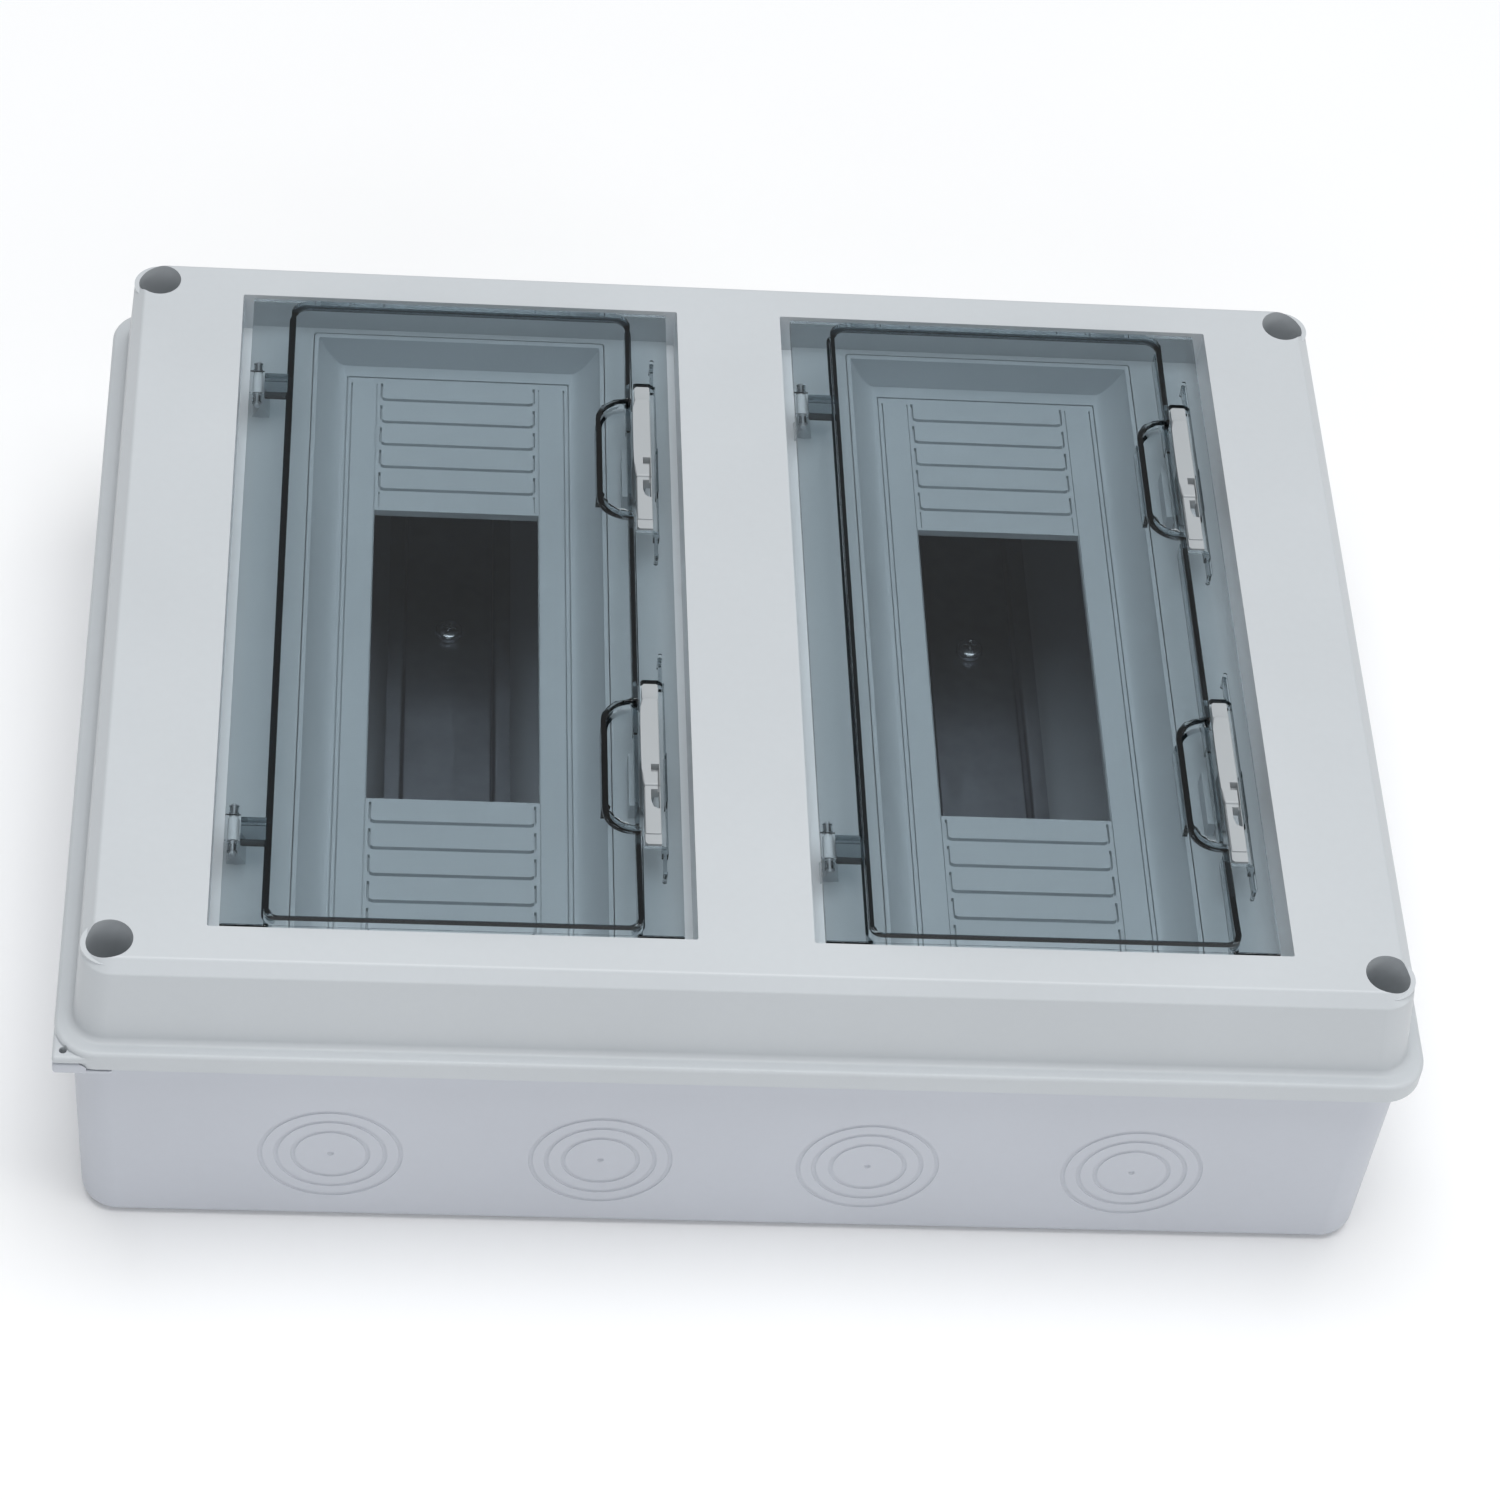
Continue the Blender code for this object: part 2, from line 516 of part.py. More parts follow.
door_shape = None
for side, sx in (("left", -1), ("right", 1)):
    cx = sx * WINDOW_X
    if door_shape is None:
        door = block(f"door_{side}", (cx + HINGE_X + 0.4, -DOOR_HALF_Y, DOOR_Z[0]),
                     (cx + DOOR_EDGE_X, DOOR_HALF_Y, DOOR_Z[1]), home=PARTS, finish=SMOKED)
        raised = prism("door_raised_panel", [(cx + x, y) for x, y in
                                             door_outline(0.0, -DOOR_HALF_Y + 0.2)],
                       (DOOR_Z[0] + 0.2, HEIGHT), top_edge=0.9)
        hollow = prism("door_panel_hollow", [(cx + x, y) for x, y in
                                             door_outline(PANEL_SKIN, -DOOR_HALF_Y + 2.2)],
                       (90.0, HEIGHT - PANEL_SKIN))
        barrel = rod("door_barrel", (cx + HINGE_X, -DOOR_HALF_Y, HINGE_Z),
                     (cx + HINGE_X, DOOR_HALF_Y, HINGE_Z), BARREL_R, 14)
        join(door, raised, barrel)
        cut(door, hollow)
        for k, y in enumerate(HINGE_Y):
            cut(door,
                block(f"door_hinge_gap_{k}", (cx + HINGE_X - 4.0, y - LUG_HALF_Y - 0.4, 90.0),
                      (cx + HINGE_X + 4.2, y + LUG_HALF_Y + 0.4, 110.0)),
                rod(f"door_hinge_bore_{k}", (cx + HINGE_X, y - 9.5, HINGE_Z),
                    (cx + HINGE_X, y + 9.5, HINGE_Z), PIN_R + 0.35, 8))
        for k, y in enumerate(LATCH_Y):
            cut(door,
                block(f"latch_slot_{k}", (cx + LATCH_X[0] - 0.35, y - LATCH_HALF_Y - 0.3, 90.0),
                      (cx + LATCH_X[1] + 1.6, y + LATCH_HALF_Y + 2.0, 110.0)),
                block(f"latch_slit_{k}", (cx + 53.0, y - 1.0 - SLIT_HALF_Y, 90.0),
                      (cx + LATCH_X[1] + 1.6, y - 1.0 + SLIT_HALF_Y, 110.0)))
        put_origin(door, (cx + HINGE_X, 0.0, HINGE_Z))
        door_shape = door
    else:
        graph = bpy.context.evaluated_depsgraph_get()
        data = bpy.data.meshes.new_from_object(door_shape.evaluated_get(graph))
        door = bpy.data.objects.new(f"door_{side}", data)
        door.location = door_shape.location + Vector((2 * WINDOW_X * MM, 0, 0))
        PARTS.objects.link(door)
    for k, (end, y) in enumerate((("rear", HINGE_Y[0]), ("front", HINGE_Y[1]))):
        rod(f"hinge_pin_{side}_{end}", (cx + HINGE_X, y - 8.5, HINGE_Z),
            (cx + HINGE_X, y + 8.5, HINGE_Z), PIN_R, 10, PARTS, PIN_STEEL)
    for end, y in (("rear", LATCH_Y[0]), ("front", LATCH_Y[1])):
        latch = block(f"latch_{side}_{end}", (cx + LATCH_X[0], y - LATCH_HALF_Y, DOOR_Z[0] + 0.1),
                      (cx + LATCH_X[1], y + LATCH_HALF_Y, 102.4), home=PARTS, finish=LATCH_GREY)
        join(latch,
             block(f"latch_stem_{side}_{end}", (cx + 49.4, y - 8.0, 90.0),
                   (cx + 51.4, y + 8.0, 100.5)),
             block(f"latch_nose_{side}_{end}", (cx + 48.4, y - 8.0, 90.0),
                   (cx + 50.4, y + 8.0, 91.8)))

# ---- cover screws --------------------------------------------------------
for side, sx in (("left", -1), ("right", 1)):
    for end, sy in (("front", -1), ("rear", 1)):
        screw(f"cover_screw_{side}_{end}", (sx * SCREW_X, sy * SCREW_Y, SCREW_SEAT_Z + GAP),
              4.9, 3.4, 1.95, 20.0, DARK_SCREW, sides=14)

# ---- grouping: an empty on each joint's axis -----------------------------
def group(name, point, members, parent=None):
    axis = bpy.data.objects.new(name, None)
    axis.location = Vector(point) * MM
    axis.empty_display_size = 0.02
    PARTS.objects.link(axis)
    bpy.context.view_layer.update()
    for member in members:
        place = member.matrix_world.copy()
        member.parent = axis
        member.matrix_parent_inverse = axis.matrix_world.inverted()
        member.matrix_world = place
    if parent is not None:
        place = axis.matrix_world.copy()
        axis.parent = parent
        axis.matrix_parent_inverse = parent.matrix_world.inverted()
        axis.matrix_world = place
    return axis


def named(*starts):
    return [thing for thing in PARTS.objects
            if thing.type == "MESH" and thing.name.startswith(starts)]


base_frame = group("base_frame", (0, 0, 0), named("base_", "din_", "rail_", "neutral_", "earth_"))
cover_frame = group("cover_lift_axis", (0, 0, BASE_RIM_Z),
                    named("cover_shell", "module_", "hinge_", "sealing_", "cover_screw"), base_frame)
for side, sx in (("left", -1), ("right", 1)):
    group(f"door_{side}_hinge_axis", (sx * WINDOW_X + HINGE_X, 0, HINGE_Z),
          named(f"door_{side}", f"latch_{side}"), cover_frame)

for thing in PARTS.objects:
    if thing.type == "MESH":
        smooth(thing)
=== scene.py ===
"""Looks of a surface-mounted 24-way distribution enclosure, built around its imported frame.

Lengths in the helpers are millimetres in the CAD frame; they become metres when a mesh is made.
"""
import math

import bmesh
import bpy
from mathutils import Matrix, Vector


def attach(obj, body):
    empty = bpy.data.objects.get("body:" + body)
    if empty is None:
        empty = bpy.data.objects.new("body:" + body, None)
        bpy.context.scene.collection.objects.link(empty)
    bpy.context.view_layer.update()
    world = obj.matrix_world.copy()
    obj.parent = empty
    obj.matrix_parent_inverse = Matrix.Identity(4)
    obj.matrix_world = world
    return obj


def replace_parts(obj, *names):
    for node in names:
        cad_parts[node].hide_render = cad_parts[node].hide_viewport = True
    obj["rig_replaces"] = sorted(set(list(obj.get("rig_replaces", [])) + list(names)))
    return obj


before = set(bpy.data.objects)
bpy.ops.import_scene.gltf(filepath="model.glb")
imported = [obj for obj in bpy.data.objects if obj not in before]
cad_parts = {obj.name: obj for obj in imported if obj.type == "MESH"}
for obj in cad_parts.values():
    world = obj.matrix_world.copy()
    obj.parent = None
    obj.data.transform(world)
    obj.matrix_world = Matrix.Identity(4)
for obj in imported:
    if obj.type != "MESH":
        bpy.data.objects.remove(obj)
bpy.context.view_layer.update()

MM = 0.001
SIDES = (("left", -1), ("right", 1))
ENDS = (("rear", 1), ("front", -1))
HELPERS = []


# ==========================================================================
# materials
# ==========================================================================
def new_material(name):
    made = bpy.data.materials.new(name)
    made.use_nodes = True
    tree = made.node_tree
    shader = tree.nodes["Principled BSDF"]
    return made, tree, shader


def node(tree, kind, **values):
    made = tree.nodes.new(kind)
    for key, value in values.items():
        if key in made.inputs:
            made.inputs[key].default_value = value
        else:
            setattr(made, key, value)
    return made


def object_coords(tree, scale=(1, 1, 1)):
    coords = tree.nodes.new("ShaderNodeTexCoord")
    mapping = tree.nodes.new("ShaderNodeMapping")
    mapping.inputs["Scale"].default_value = scale
    tree.links.new(coords.outputs["Object"], mapping.inputs["Vector"])
    return mapping.outputs["Vector"]


def ramp(tree, source, low, high, a, b):
    """Turns a 0..1 signal into a blend of two colours between low and high."""
    made = tree.nodes.new("ShaderNodeValToRGB")
    made.color_ramp.elements[0].position = low
    made.color_ramp.elements[1].position = high
    made.color_ramp.elements[0].color = (*a, 1)
    made.color_ramp.elements[1].color = (*b, 1)
    tree.links.new(source, made.inputs["Fac"])
    return made.outputs["Color"]


def spread(tree, source, low, high):
    made = tree.nodes.new("ShaderNodeMapRange")
    made.inputs["To Min"].default_value = low
    made.inputs["To Max"].default_value = high
    tree.links.new(source, made.inputs["Value"])
    return made.outputs["Result"]


def bump(tree, shader, source, strength, distance):
    made = tree.nodes.new("ShaderNodeBump")
    made.inputs["Strength"].default_value = strength
    made.inputs["Distance"].default_value = distance
    tree.links.new(source, made.inputs["Height"])
    tree.links.new(made.outputs["Normal"], shader.inputs["Normal"])


def moulded_plastic(name, colour, roughness, grain=0.12, specular=0.5, variation=0.018):
    """Injection-moulded plastic: fine spark-eroded grain, faint flow marks, slight tone change."""
    made, tree, shader = new_material(name)
    place = object_coords(tree)
    broad = node(tree, "ShaderNodeTexNoise", Scale=14.0, Detail=3.0, Roughness=0.5)
    fine = node(tree, "ShaderNodeTexNoise", Scale=3200.0, Detail=2.0, Roughness=0.6)
    speck = node(tree, "ShaderNodeTexNoise", Scale=420.0, Detail=4.0, Roughness=0.65)
    for n in (broad, fine, speck):
        tree.links.new(place, n.inputs["Vector"])
    light = tuple(min(1.0, c * (1 + variation)) for c in colour)
    dark = tuple(c * (1 - variation) for c in colour)
    base = ramp(tree, broad.outputs["Fac"], 0.35, 0.65, dark, light)
    mix = tree.nodes.new("ShaderNodeMix")
    mix.data_type = "RGBA"
    mix.blend_type = "MULTIPLY"
    mix.inputs["Factor"].default_value = 1.0
    tree.links.new(base, mix.inputs["A"])
    tree.links.new(ramp(tree, speck.outputs["Fac"], 0.3, 0.7, (0.985,) * 3, (1.0,) * 3),
                   mix.inputs["B"])
    tree.links.new(mix.outputs["Result"], shader.inputs["Base Color"])
    tree.links.new(spread(tree, speck.outputs["Fac"], roughness - 0.05, roughness + 0.05),
                   shader.inputs["Roughness"])
    shader.inputs["Specular IOR Level"].default_value = specular
    shader.inputs["IOR"].default_value = 1.49
    bump(tree, shader, fine.outputs["Fac"], grain, 0.00004)
    return made


def metal(name, colour, roughness, stretch=(1, 1, 1), tint=0.06, spangle=0.0):
    """Plated, brushed or machined metal with fine marks along one direction."""
    made, tree, shader = new_material(name)
    marks = node(tree, "ShaderNodeTexNoise", Scale=900.0, Detail=4.0, Roughness=0.6)
    tree.links.new(object_coords(tree, stretch), marks.inputs["Vector"])
    cloud = node(tree, "ShaderNodeTexNoise", Scale=60.0, Detail=4.0, Roughness=0.6)
    tree.links.new(object_coords(tree), cloud.inputs["Vector"])
    light = tuple(min(1.0, c * (1 + tint)) for c in colour)
    dark = tuple(c * (1 - tint) for c in colour)
    base = ramp(tree, cloud.outputs["Fac"], 0.35, 0.65, dark, light)
    if spangle:
        cells = node(tree, "ShaderNodeTexVoronoi", Scale=260.0)
        tree.links.new(object_coords(tree), cells.inputs["Vector"])
        mix = tree.nodes.new("ShaderNodeMix")
        mix.data_type = "RGBA"
        mix.blend_type = "MULTIPLY"
        mix.inputs["Factor"].default_value = spangle
        tree.links.new(base, mix.inputs["A"])
        tree.links.new(ramp(tree, cells.outputs["Distance"], 0.1, 0.8, (0.82,) * 3, (1.0,) * 3),
                       mix.inputs["B"])
        base = mix.outputs["Result"]
    tree.links.new(base, shader.inputs["Base Color"])
    shader.inputs["Metallic"].default_value = 1.0
    tree.links.new(spread(tree, marks.outputs["Fac"], roughness - 0.08, roughness + 0.08),
                   shader.inputs["Roughness"])
    bump(tree, shader, marks.outputs["Fac"], 0.12, 0.00002)
    return made


def smoked_polycarbonate(name):
    """Clear grey polycarbonate: the tint comes from the length of the way through it."""
    made, tree, shader = new_material(name)
    place = object_coords(tree)
    haze = node(tree, "ShaderNodeTexNoise", Scale=22.0, Detail=3.0, Roughness=0.5)
    tree.links.new(place, haze.inputs["Vector"])
    tree.links.new(ramp(tree, haze.outputs["Fac"], 0.3, 0.7, (0.985, 0.988, 0.99), (1, 1, 1)),
                   shader.inputs["Base Color"])
    tree.links.new(spread(tree, haze.outputs["Fac"], 0.0, 0.012), shader.inputs["Roughness"])
    shader.inputs["IOR"].default_value = 1.58
    shader.inputs["Transmission Weight"].default_value = 1.0
    shader.inputs["Specular IOR Level"].default_value = 0.5
    clear = node(tree, "ShaderNodeBsdfTransparent", Color=(0.94, 0.94, 0.94, 1.0))
    path = tree.nodes.new("ShaderNodeLightPath")
    either = tree.nodes.new("ShaderNodeMixShader")
    tree.links.new(path.outputs["Is Shadow Ray"], either.inputs[0])
    tree.links.new(shader.outputs[0], either.inputs[1])
    tree.links.new(clear.outputs[0], either.inputs[2])
    output = tree.nodes["Material Output"]
    tree.links.new(either.outputs[0], output.inputs["Surface"])
    smoke = node(tree, "ShaderNodeVolumeAbsorption", Color=(0.0, 0.13, 0.19, 1.0), Density=270.0)
    tree.links.new(smoke.outputs[0], output.inputs["Volume"])
    return made


COVER_ABS = moulded_plastic("cover_plastic", (0.560, 0.588, 0.610), 0.42)
BASE_ABS = moulded_plastic("base_plastic", (0.547, 0.570, 0.620), 0.46)
MASK_ABS = moulded_plastic("mask_plastic", (0.565, 0.597, 0.624), 0.45)
LATCH_GREY = moulded_plastic("latch_plastic", (0.405, 0.428, 0.442), 0.4)
SCREW_GREY = moulded_plastic("cover_screw_plastic", (0.42, 0.43, 0.45), 0.42)
BLUE = moulded_plastic("neutral_blue", (0.03, 0.16, 0.48), 0.38)
GREEN = moulded_plastic("earth_green", (0.05, 0.34, 0.10), 0.38)
RUBBER = moulded_plastic("gasket_rubber", (0.035, 0.035, 0.038), 0.75, grain=0.5, specular=0.35)
SMOKED = smoked_polycarbonate("smoked_door")
ZINC = metal("zinc_rail", (0.40, 0.41, 0.455), 0.34, (1, 0.03, 1), spangle=0.35)
STEEL = metal("screw_steel", (0.68, 0.69, 0.71), 0.24, (1, 1, 0.2))
PIN_STEEL = metal("pin_steel", (0.63, 0.64, 0.66), 0.52, (1, 0.05, 1))
BRASS = metal("brass_bar", (0.80, 0.58, 0.26), 0.27, (1, 0.05, 1))


# ==========================================================================
# mesh helpers
# ==========================================================================
def to_object(shape, name, finish=None, helper=False):
    bmesh.ops.recalc_face_normals(shape, faces=shape.faces)
    bmesh.ops.scale(shape, vec=(MM, MM, MM), verts=shape.verts)
    data = bpy.data.meshes.new(name)
    shape.to_mesh(data)
    shape.free()
    made = bpy.data.objects.new(name, data)
    bpy.context.scene.collection.objects.link(made)
    if finish is not None:
        data.materials.append(finish)
    if helper:
        HELPERS.append(made)
    return made


def loop_points(hx, hy, r, n, cx=0.0, cy=0.0):
    """A rounded rectangle, anticlockwise, with n segments in each corner."""
    r = max(r, 0.02)
    points = []
    for sx, sy, start in ((1, 1, 0), (-1, 1, 90), (-1, -1, 180), (1, -1, 270)):
        for i in range(n + 1):
            a = math.radians(start + 90 * i / n)
            points.append((cx + sx * (hx - r) + r * math.cos(a),
                           cy + sy * (hy - r) + r * math.sin(a)))
    return points


def bridge(shape, loops, closed=False):
    rings = [[shape.verts.new(p) for p in loop] for loop in loops]
    count = len(rings[0])
    pairs = list(zip(rings, rings[1:])) + ([(rings[-1], rings[0])] if closed else [])
    for a, b in pairs:
        for i in range(count):
            j = (i + 1) % count
            shape.faces.new((a[i], a[j], b[j], b[i]))
    if not closed:
        shape.faces.new(list(reversed(rings[0])))
        shape.faces.new(rings[-1])


def stack(levels, n=8, centre=(0.0, 0.0)):
    """A solid through rounded rectangles, each (half x, half y, z, corner radius)."""
    shape = bmesh.new()
    bridge(shape, [[(x, y, z) for x, y in loop_points(hx, hy, r, n, *centre)]
                   for hx, hy, z, r in levels])
    return shape


def box(low, high, r=0.0, n=2):
    centre = ((low[0] + high[0]) / 2, (low[1] + high[1]) / 2)
    hx, hy = (high[0] - low[0]) / 2, (high[1] - low[1]) / 2
    if r:
        return stack([(hx, hy, low[2], r), (hx, hy, high[2], r)], n, centre)
    shape = bmesh.new()
    bmesh.ops.create_cube(shape, size=1.0)
    for v in shape.verts:
        v.co = Vector((centre[0] + 2 * hx * v.co.x, centre[1] + 2 * hy * v.co.y,
                       (low[2] + high[2]) / 2 + (high[2] - low[2]) * v.co.z))
    return shape


def eased_box(low, high, edge=0.3, steps=2):
    """A block with all its edges rounded."""
    shape = box(low, high)
    bmesh.ops.bevel(shape, geom=shape.edges[:], offset=edge, segments=steps, profile=0.5,
                    affect="EDGES")
    return shape


def turned(profile, sides, at=(0, 0, 0), axis=None):
    """Turns an (r, z) profile round the axis; ends on the axis close it, a ring profile loops."""
    shape = bmesh.new()
    ring_profile = profile[0][0] > 1e-6 and profile[-1][0] > 1e-6
    rows = []
    for r, z in profile:
        if r < 1e-6:
            rows.append([shape.verts.new((0, 0, z))])
        else:
            rows.append([shape.verts.new((r * math.cos(2 * math.pi * i / sides),
                                          r * math.sin(2 * math.pi * i / sides), z))
                         for i in range(sides)])
    pairs = list(zip(rows, rows[1:])) + ([(rows[-1], rows[0])] if ring_profile else [])
    for a, b in pairs:
        for i in range(sides):
            j = (i + 1) % sides
            if len(a) == 1:
                shape.faces.new((a[0], b[j], b[i]))
            elif len(b) == 1:
                shape.faces.new((a[i], a[j], b[0]))
            else:
                shape.faces.new((a[i], a[j], b[j], b[i]))
    turn = Matrix.Identity(4)
    if axis is not None:
        turn = Vector((0, 0, 1)).rotation_difference(Vector(axis).normalized()).to_matrix().to_4x4()
    bmesh.ops.transform(shape, verts=shape.verts, matrix=Matrix.Translation(Vector(at)) @ turn)
    return shape


def rod(start, end, radius, sides=32, radius_end=None):
    start, end = Vector(start), Vector(end)
    return turned([(0, 0), (radius, 0), (radius if radius_end is None else radius_end,
                                         (end - start).length), (0, (end - start).length)],
                  sides, start, end - start)


def prism(points, z0, z1):
    shape = bmesh.new()
    low = [shape.verts.new((x, y, z0)) for x, y in points]
    high = [shape.verts.new((x, y, z1)) for x, y in points]
    count = len(points)
    shape.faces.new(list(reversed(low)))
    shape.faces.new(high)
    for i in range(count):
        j = (i + 1) % count
        shape.faces.new((low[i], low[j], high[j], high[i]))
    return shape


def along_y(section, y0, y1):
    """An (x, z) outline run along Y."""
    shape = prism(section, -y1, -y0)
    bmesh.ops.rotate(shape, cent=(0, 0, 0), matrix=Matrix.Rotation(math.pi / 2, 3, "X"),
                     verts=shape.verts)
    return shape


def merge(*shapes):
    """Several separate closed bodies in one mesh, for use as one cutter."""
    whole = bmesh.new()
    for shape in shapes:
        data = bpy.data.meshes.new("scratch")
        shape.to_mesh(data)
        shape.free()
        whole.from_mesh(data)
        bpy.data.meshes.remove(data)
    return whole


def arc(cx, cy, radius, start, end, steps):
    return [(cx + radius * math.cos(math.radians(start + (end - start) * i / steps)),
             cy + radius * math.sin(math.radians(start + (end - start) * i / steps)))
            for i in range(steps + 1)]


def combine(target, operation, shapes):
    for k, shape in enumerate(shapes):
        helper = to_object(shape, f"{target.name}_{operation[:3].lower()}_{len(HELPERS)}",
                           helper=True)
        step = target.modifiers.new(f"step{len(target.modifiers)}", "BOOLEAN")
        step.operation = operation
        step.solver = "EXACT"
        step.object = helper


def cut(target, *shapes):
    combine(target, "DIFFERENCE", shapes)


def join(target, *shapes):
    combine(target, "UNION", shapes)


def settle(thing):
    """Applies a piece's modifiers and removes the helpers they used."""
    graph = bpy.context.evaluated_depsgraph_get()
    data = bpy.data.meshes.new_from_object(thing.evaluated_get(graph))
    thing.modifiers.clear()
    thing.data = data
    for helper in HELPERS:
        bpy.data.objects.remove(helper, do_unlink=True)
    HELPERS.clear()
    shape = bmesh.new()
    shape.from_mesh(data)
    bmesh.ops.remove_doubles(shape, verts=shape.verts, dist=2e-6)
    bmesh.ops.dissolve_degenerate(shape, dist=2e-6, edges=shape.edges)
    shape.to_mesh(data)
    shape.free()


def ease(thing, pick, width, steps=2, least=25.0):
    """Rounds the sharp edges that pick(a, b, edge) names; a and b are the ends in millimetres."""
    shape = bmesh.new()
    shape.from_mesh(thing.data)
    chosen = []
    for e in shape.edges:
        if len(e.link_faces) == 2 and e.calc_face_angle(0.0) > math.radians(least):
            a, b = (v.co / MM for v in e.verts)
            if pick(a, b, e):
                chosen.append(e)
    if chosen:
        bmesh.ops.bevel(shape, geom=chosen, offset=width * MM, segments=steps, profile=0.5,
                        affect="EDGES", clamp_overlap=True)
    shape.to_mesh(thing.data)
    shape.free()


def shade(thing, degrees=32.0):
    thing.data.shade_smooth()
    thing.data.set_sharp_from_angle(angle=math.radians(degrees))
    weighted = thing.modifiers.new("weighted", "WEIGHTED_NORMAL")
    weighted.keep_sharp = True
    weighted.weight = 90


def place(thing, body, *nodes):
    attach(thing, body)
    if nodes:
        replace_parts(thing, *nodes)


# ==========================================================================
# base shell
# ==========================================================================
def base_half(z, inset=0.0):
    return 170.0 + z / 68.0 - inset, 130.0 + z / 68.0 - inset


levels = []
for i in range(9):  # rounded foot
    a = math.radians(90 * i / 8)
    inset, z = 3.8 * (1 - math.sin(a)), 3.8 * (1 - math.cos(a))
    hx, hy = base_half(z, inset)
    levels.append((hx, hy, z, 10.0 - inset))
for z in (20.0, 40.0, 60.0, 67.5):
    levels.append((*base_half(z), z, 10.0))
levels.append((*base_half(67.85, 0.15), 67.85, 9.85))
levels.append((*base_half(68.0, 0.5), 68.0, 9.5))
base = to_object(stack(levels, 12), "enclosure_base", BASE_ABS)
ear = to_object(eased_box((-175.0, -135.0, 66.6), (-160.0, -120.0, 70.2), 0.9, 3), "ear")
cut(ear, stack([(175.3, 135.3, 68.0, 11.3), (175.3, 135.3, 80.0, 11.3)], 12))
graph = bpy.context.evaluated_depsgraph_get()
ear_data = bpy.data.meshes.new_from_object(ear.evaluated_get(graph))
ear_shape = bmesh.new()
ear_shape.from_mesh(ear_data)
bmesh.ops.scale(ear_shape, vec=(1 / MM,) * 3, verts=ear_shape.verts)
for helper in HELPERS:
    bpy.data.objects.remove(helper, do_unlink=True)
HELPERS.clear()
bpy.data.objects.remove(ear, do_unlink=True)
join(base, ear_shape)
join(base, stack([(169.8, 129.8, 50.0, 8.8), (169.8, 129.8, 70.9, 8.8), (169.5, 129.5, 71.2, 8.5)],
                 12))
cavity = [(*base_half(2.5, 3.6), 2.5, 6.4), (*base_half(2.9, 2.7), 2.9, 7.3),
          (*base_half(3.9, 2.4), 3.9, 7.6), (*base_half(66.0, 2.4), 66.0, 7.6),
          (*base_half(90.0, 2.4), 90.0, 7.6)]
cut(base, stack(cavity, 12))
for sx in (-1, 1):
    for sy in (-1, 1):
        x, y = sx * 161.0, sy * 119.3
        join(base,
             rod((x, y, 1.2), (x, y, 58.7), 6.0, 32),
             box((min(x, sx * 169.2), y - 1.0, 1.4), (max(x, sx * 169.2), y + 1.0, 57.5)),
             box((x - 1.0, min(y, sy * 129.2), 1.6), (x + 1.0, max(y, sy * 129.2), 57.0)),
             rod((sx * 76.0, sy * 62.0, 1.0), (sx * 76.0, sy * 62.0, 18.2), 5.6, 32, 5.0))
join(base, *[rod((0, s * 56.0 + d, 1.1), (0, s * 56.0 + d, 8.0), 4.5, 24)
             for s in (-1, 1) for d in (-34.0, 34.0)])
holes = []
for sx in (-1, 1):
    for sy in (-1, 1):
        holes += [rod((sx * 161.0, sy * 119.3, 40.0), (sx * 161.0, sy * 119.3, 64.0), 2.4, 20),
                  rod((sx * 130.0, sy * 100.0, -2.0), (sx * 130.0, sy * 100.0, 5.0), 2.75, 28),
                  rod((sx * 76.0, sy * 62.0, 6.0), (sx * 76.0, sy * 62.0, 22.0), 2.0, 20)]
holes += [rod((0, s * 56.0 + d, 3.3), (0, s * 56.0 + d, 12.0), 1.7, 18)
          for s in (-1, 1) for d in (-34.0, 34.0)]
holes.append(rod((-172.3, -132.4, 60.0), (-172.3, -132.4, 75.0), 1.0, 20))
cut(base, merge(*holes))


def break_out(centre, outward):
    """Three rounded rings and a centre dimple pressed into a wall, along its outward normal."""
    rings = []
    for radius in (18.2, 14.1, 9.7):
        w, d = 0.69, 0.42
        profile = [(radius + w * c, -d * s) for c, s in
                   [(math.cos(math.radians(a)), math.sin(math.radians(a)))
                    for a in (30, 60, 90, 120, 150)]]
        profile = [(radius + w, 1.5)] + profile + [(radius - w, 1.5)]
        rings.append(turned(profile, 72, centre, outward))
    rings.append(turned([(0, -0.5), (0.5, -0.45), (0.9, -0.08), (1.05, 1.5), (0, 1.5)], 20,
                        centre, outward))
    return rings


tilt = 1.0 / 68.0
rings = []
for x in (-105.0, -35.0, 35.0, 105.0):
    for s in (-1, 1):
        rings += break_out((x, s * (130.0 + 29.3 * tilt), 29.3), (0, s, -tilt))
for y in (-70.0, 0.0, 70.0):
    for s in (-1, 1):
        rings += break_out((s * (170.0 + 29.3 * tilt), y, 29.3), (s, 0, -tilt))
cut(base, merge(*rings))
settle(base)
shade(base)
place(base, "base", "base_shell")

# ==========================================================================
# cover shell
# ==========================================================================
def cover_half(z, inset=0.0):
    share = (z - 70.0) / 32.0
    return (170.95 - 3.05 * share - inset, 130.95 - 2.95 * share - inset)


levels = [(174.4, 134.4, 68.3, 10.4), (174.75, 134.75, 68.42, 10.75), (175.0, 135.0, 68.9, 11.0),
          (175.0, 135.0, 73.6, 11.0)]
for i in range(1, 6):  # rounded outer edge of the ledge
    a = math.radians(90 * i / 5)
    levels.append((175.0 - 1.1 * (1 - math.cos(a)), 135.0 - 1.1 * (1 - math.cos(a)),
                   73.6 + 1.1 * math.sin(a), 11.0 - 1.1 * (1 - math.cos(a))))
fillet = 1.7
foot = cover_half(74.7 + fillet)
for i in range(7):  # hollow fillet between ledge and wall
    a = math.radians(90 * i / 6)
    out, up = fillet * (1 - math.sin(a)), fillet * (1 - math.cos(a))
    levels.append((foot[0] + out, foot[1] + out, 74.7 + up, 8.5 + out * 0.6))
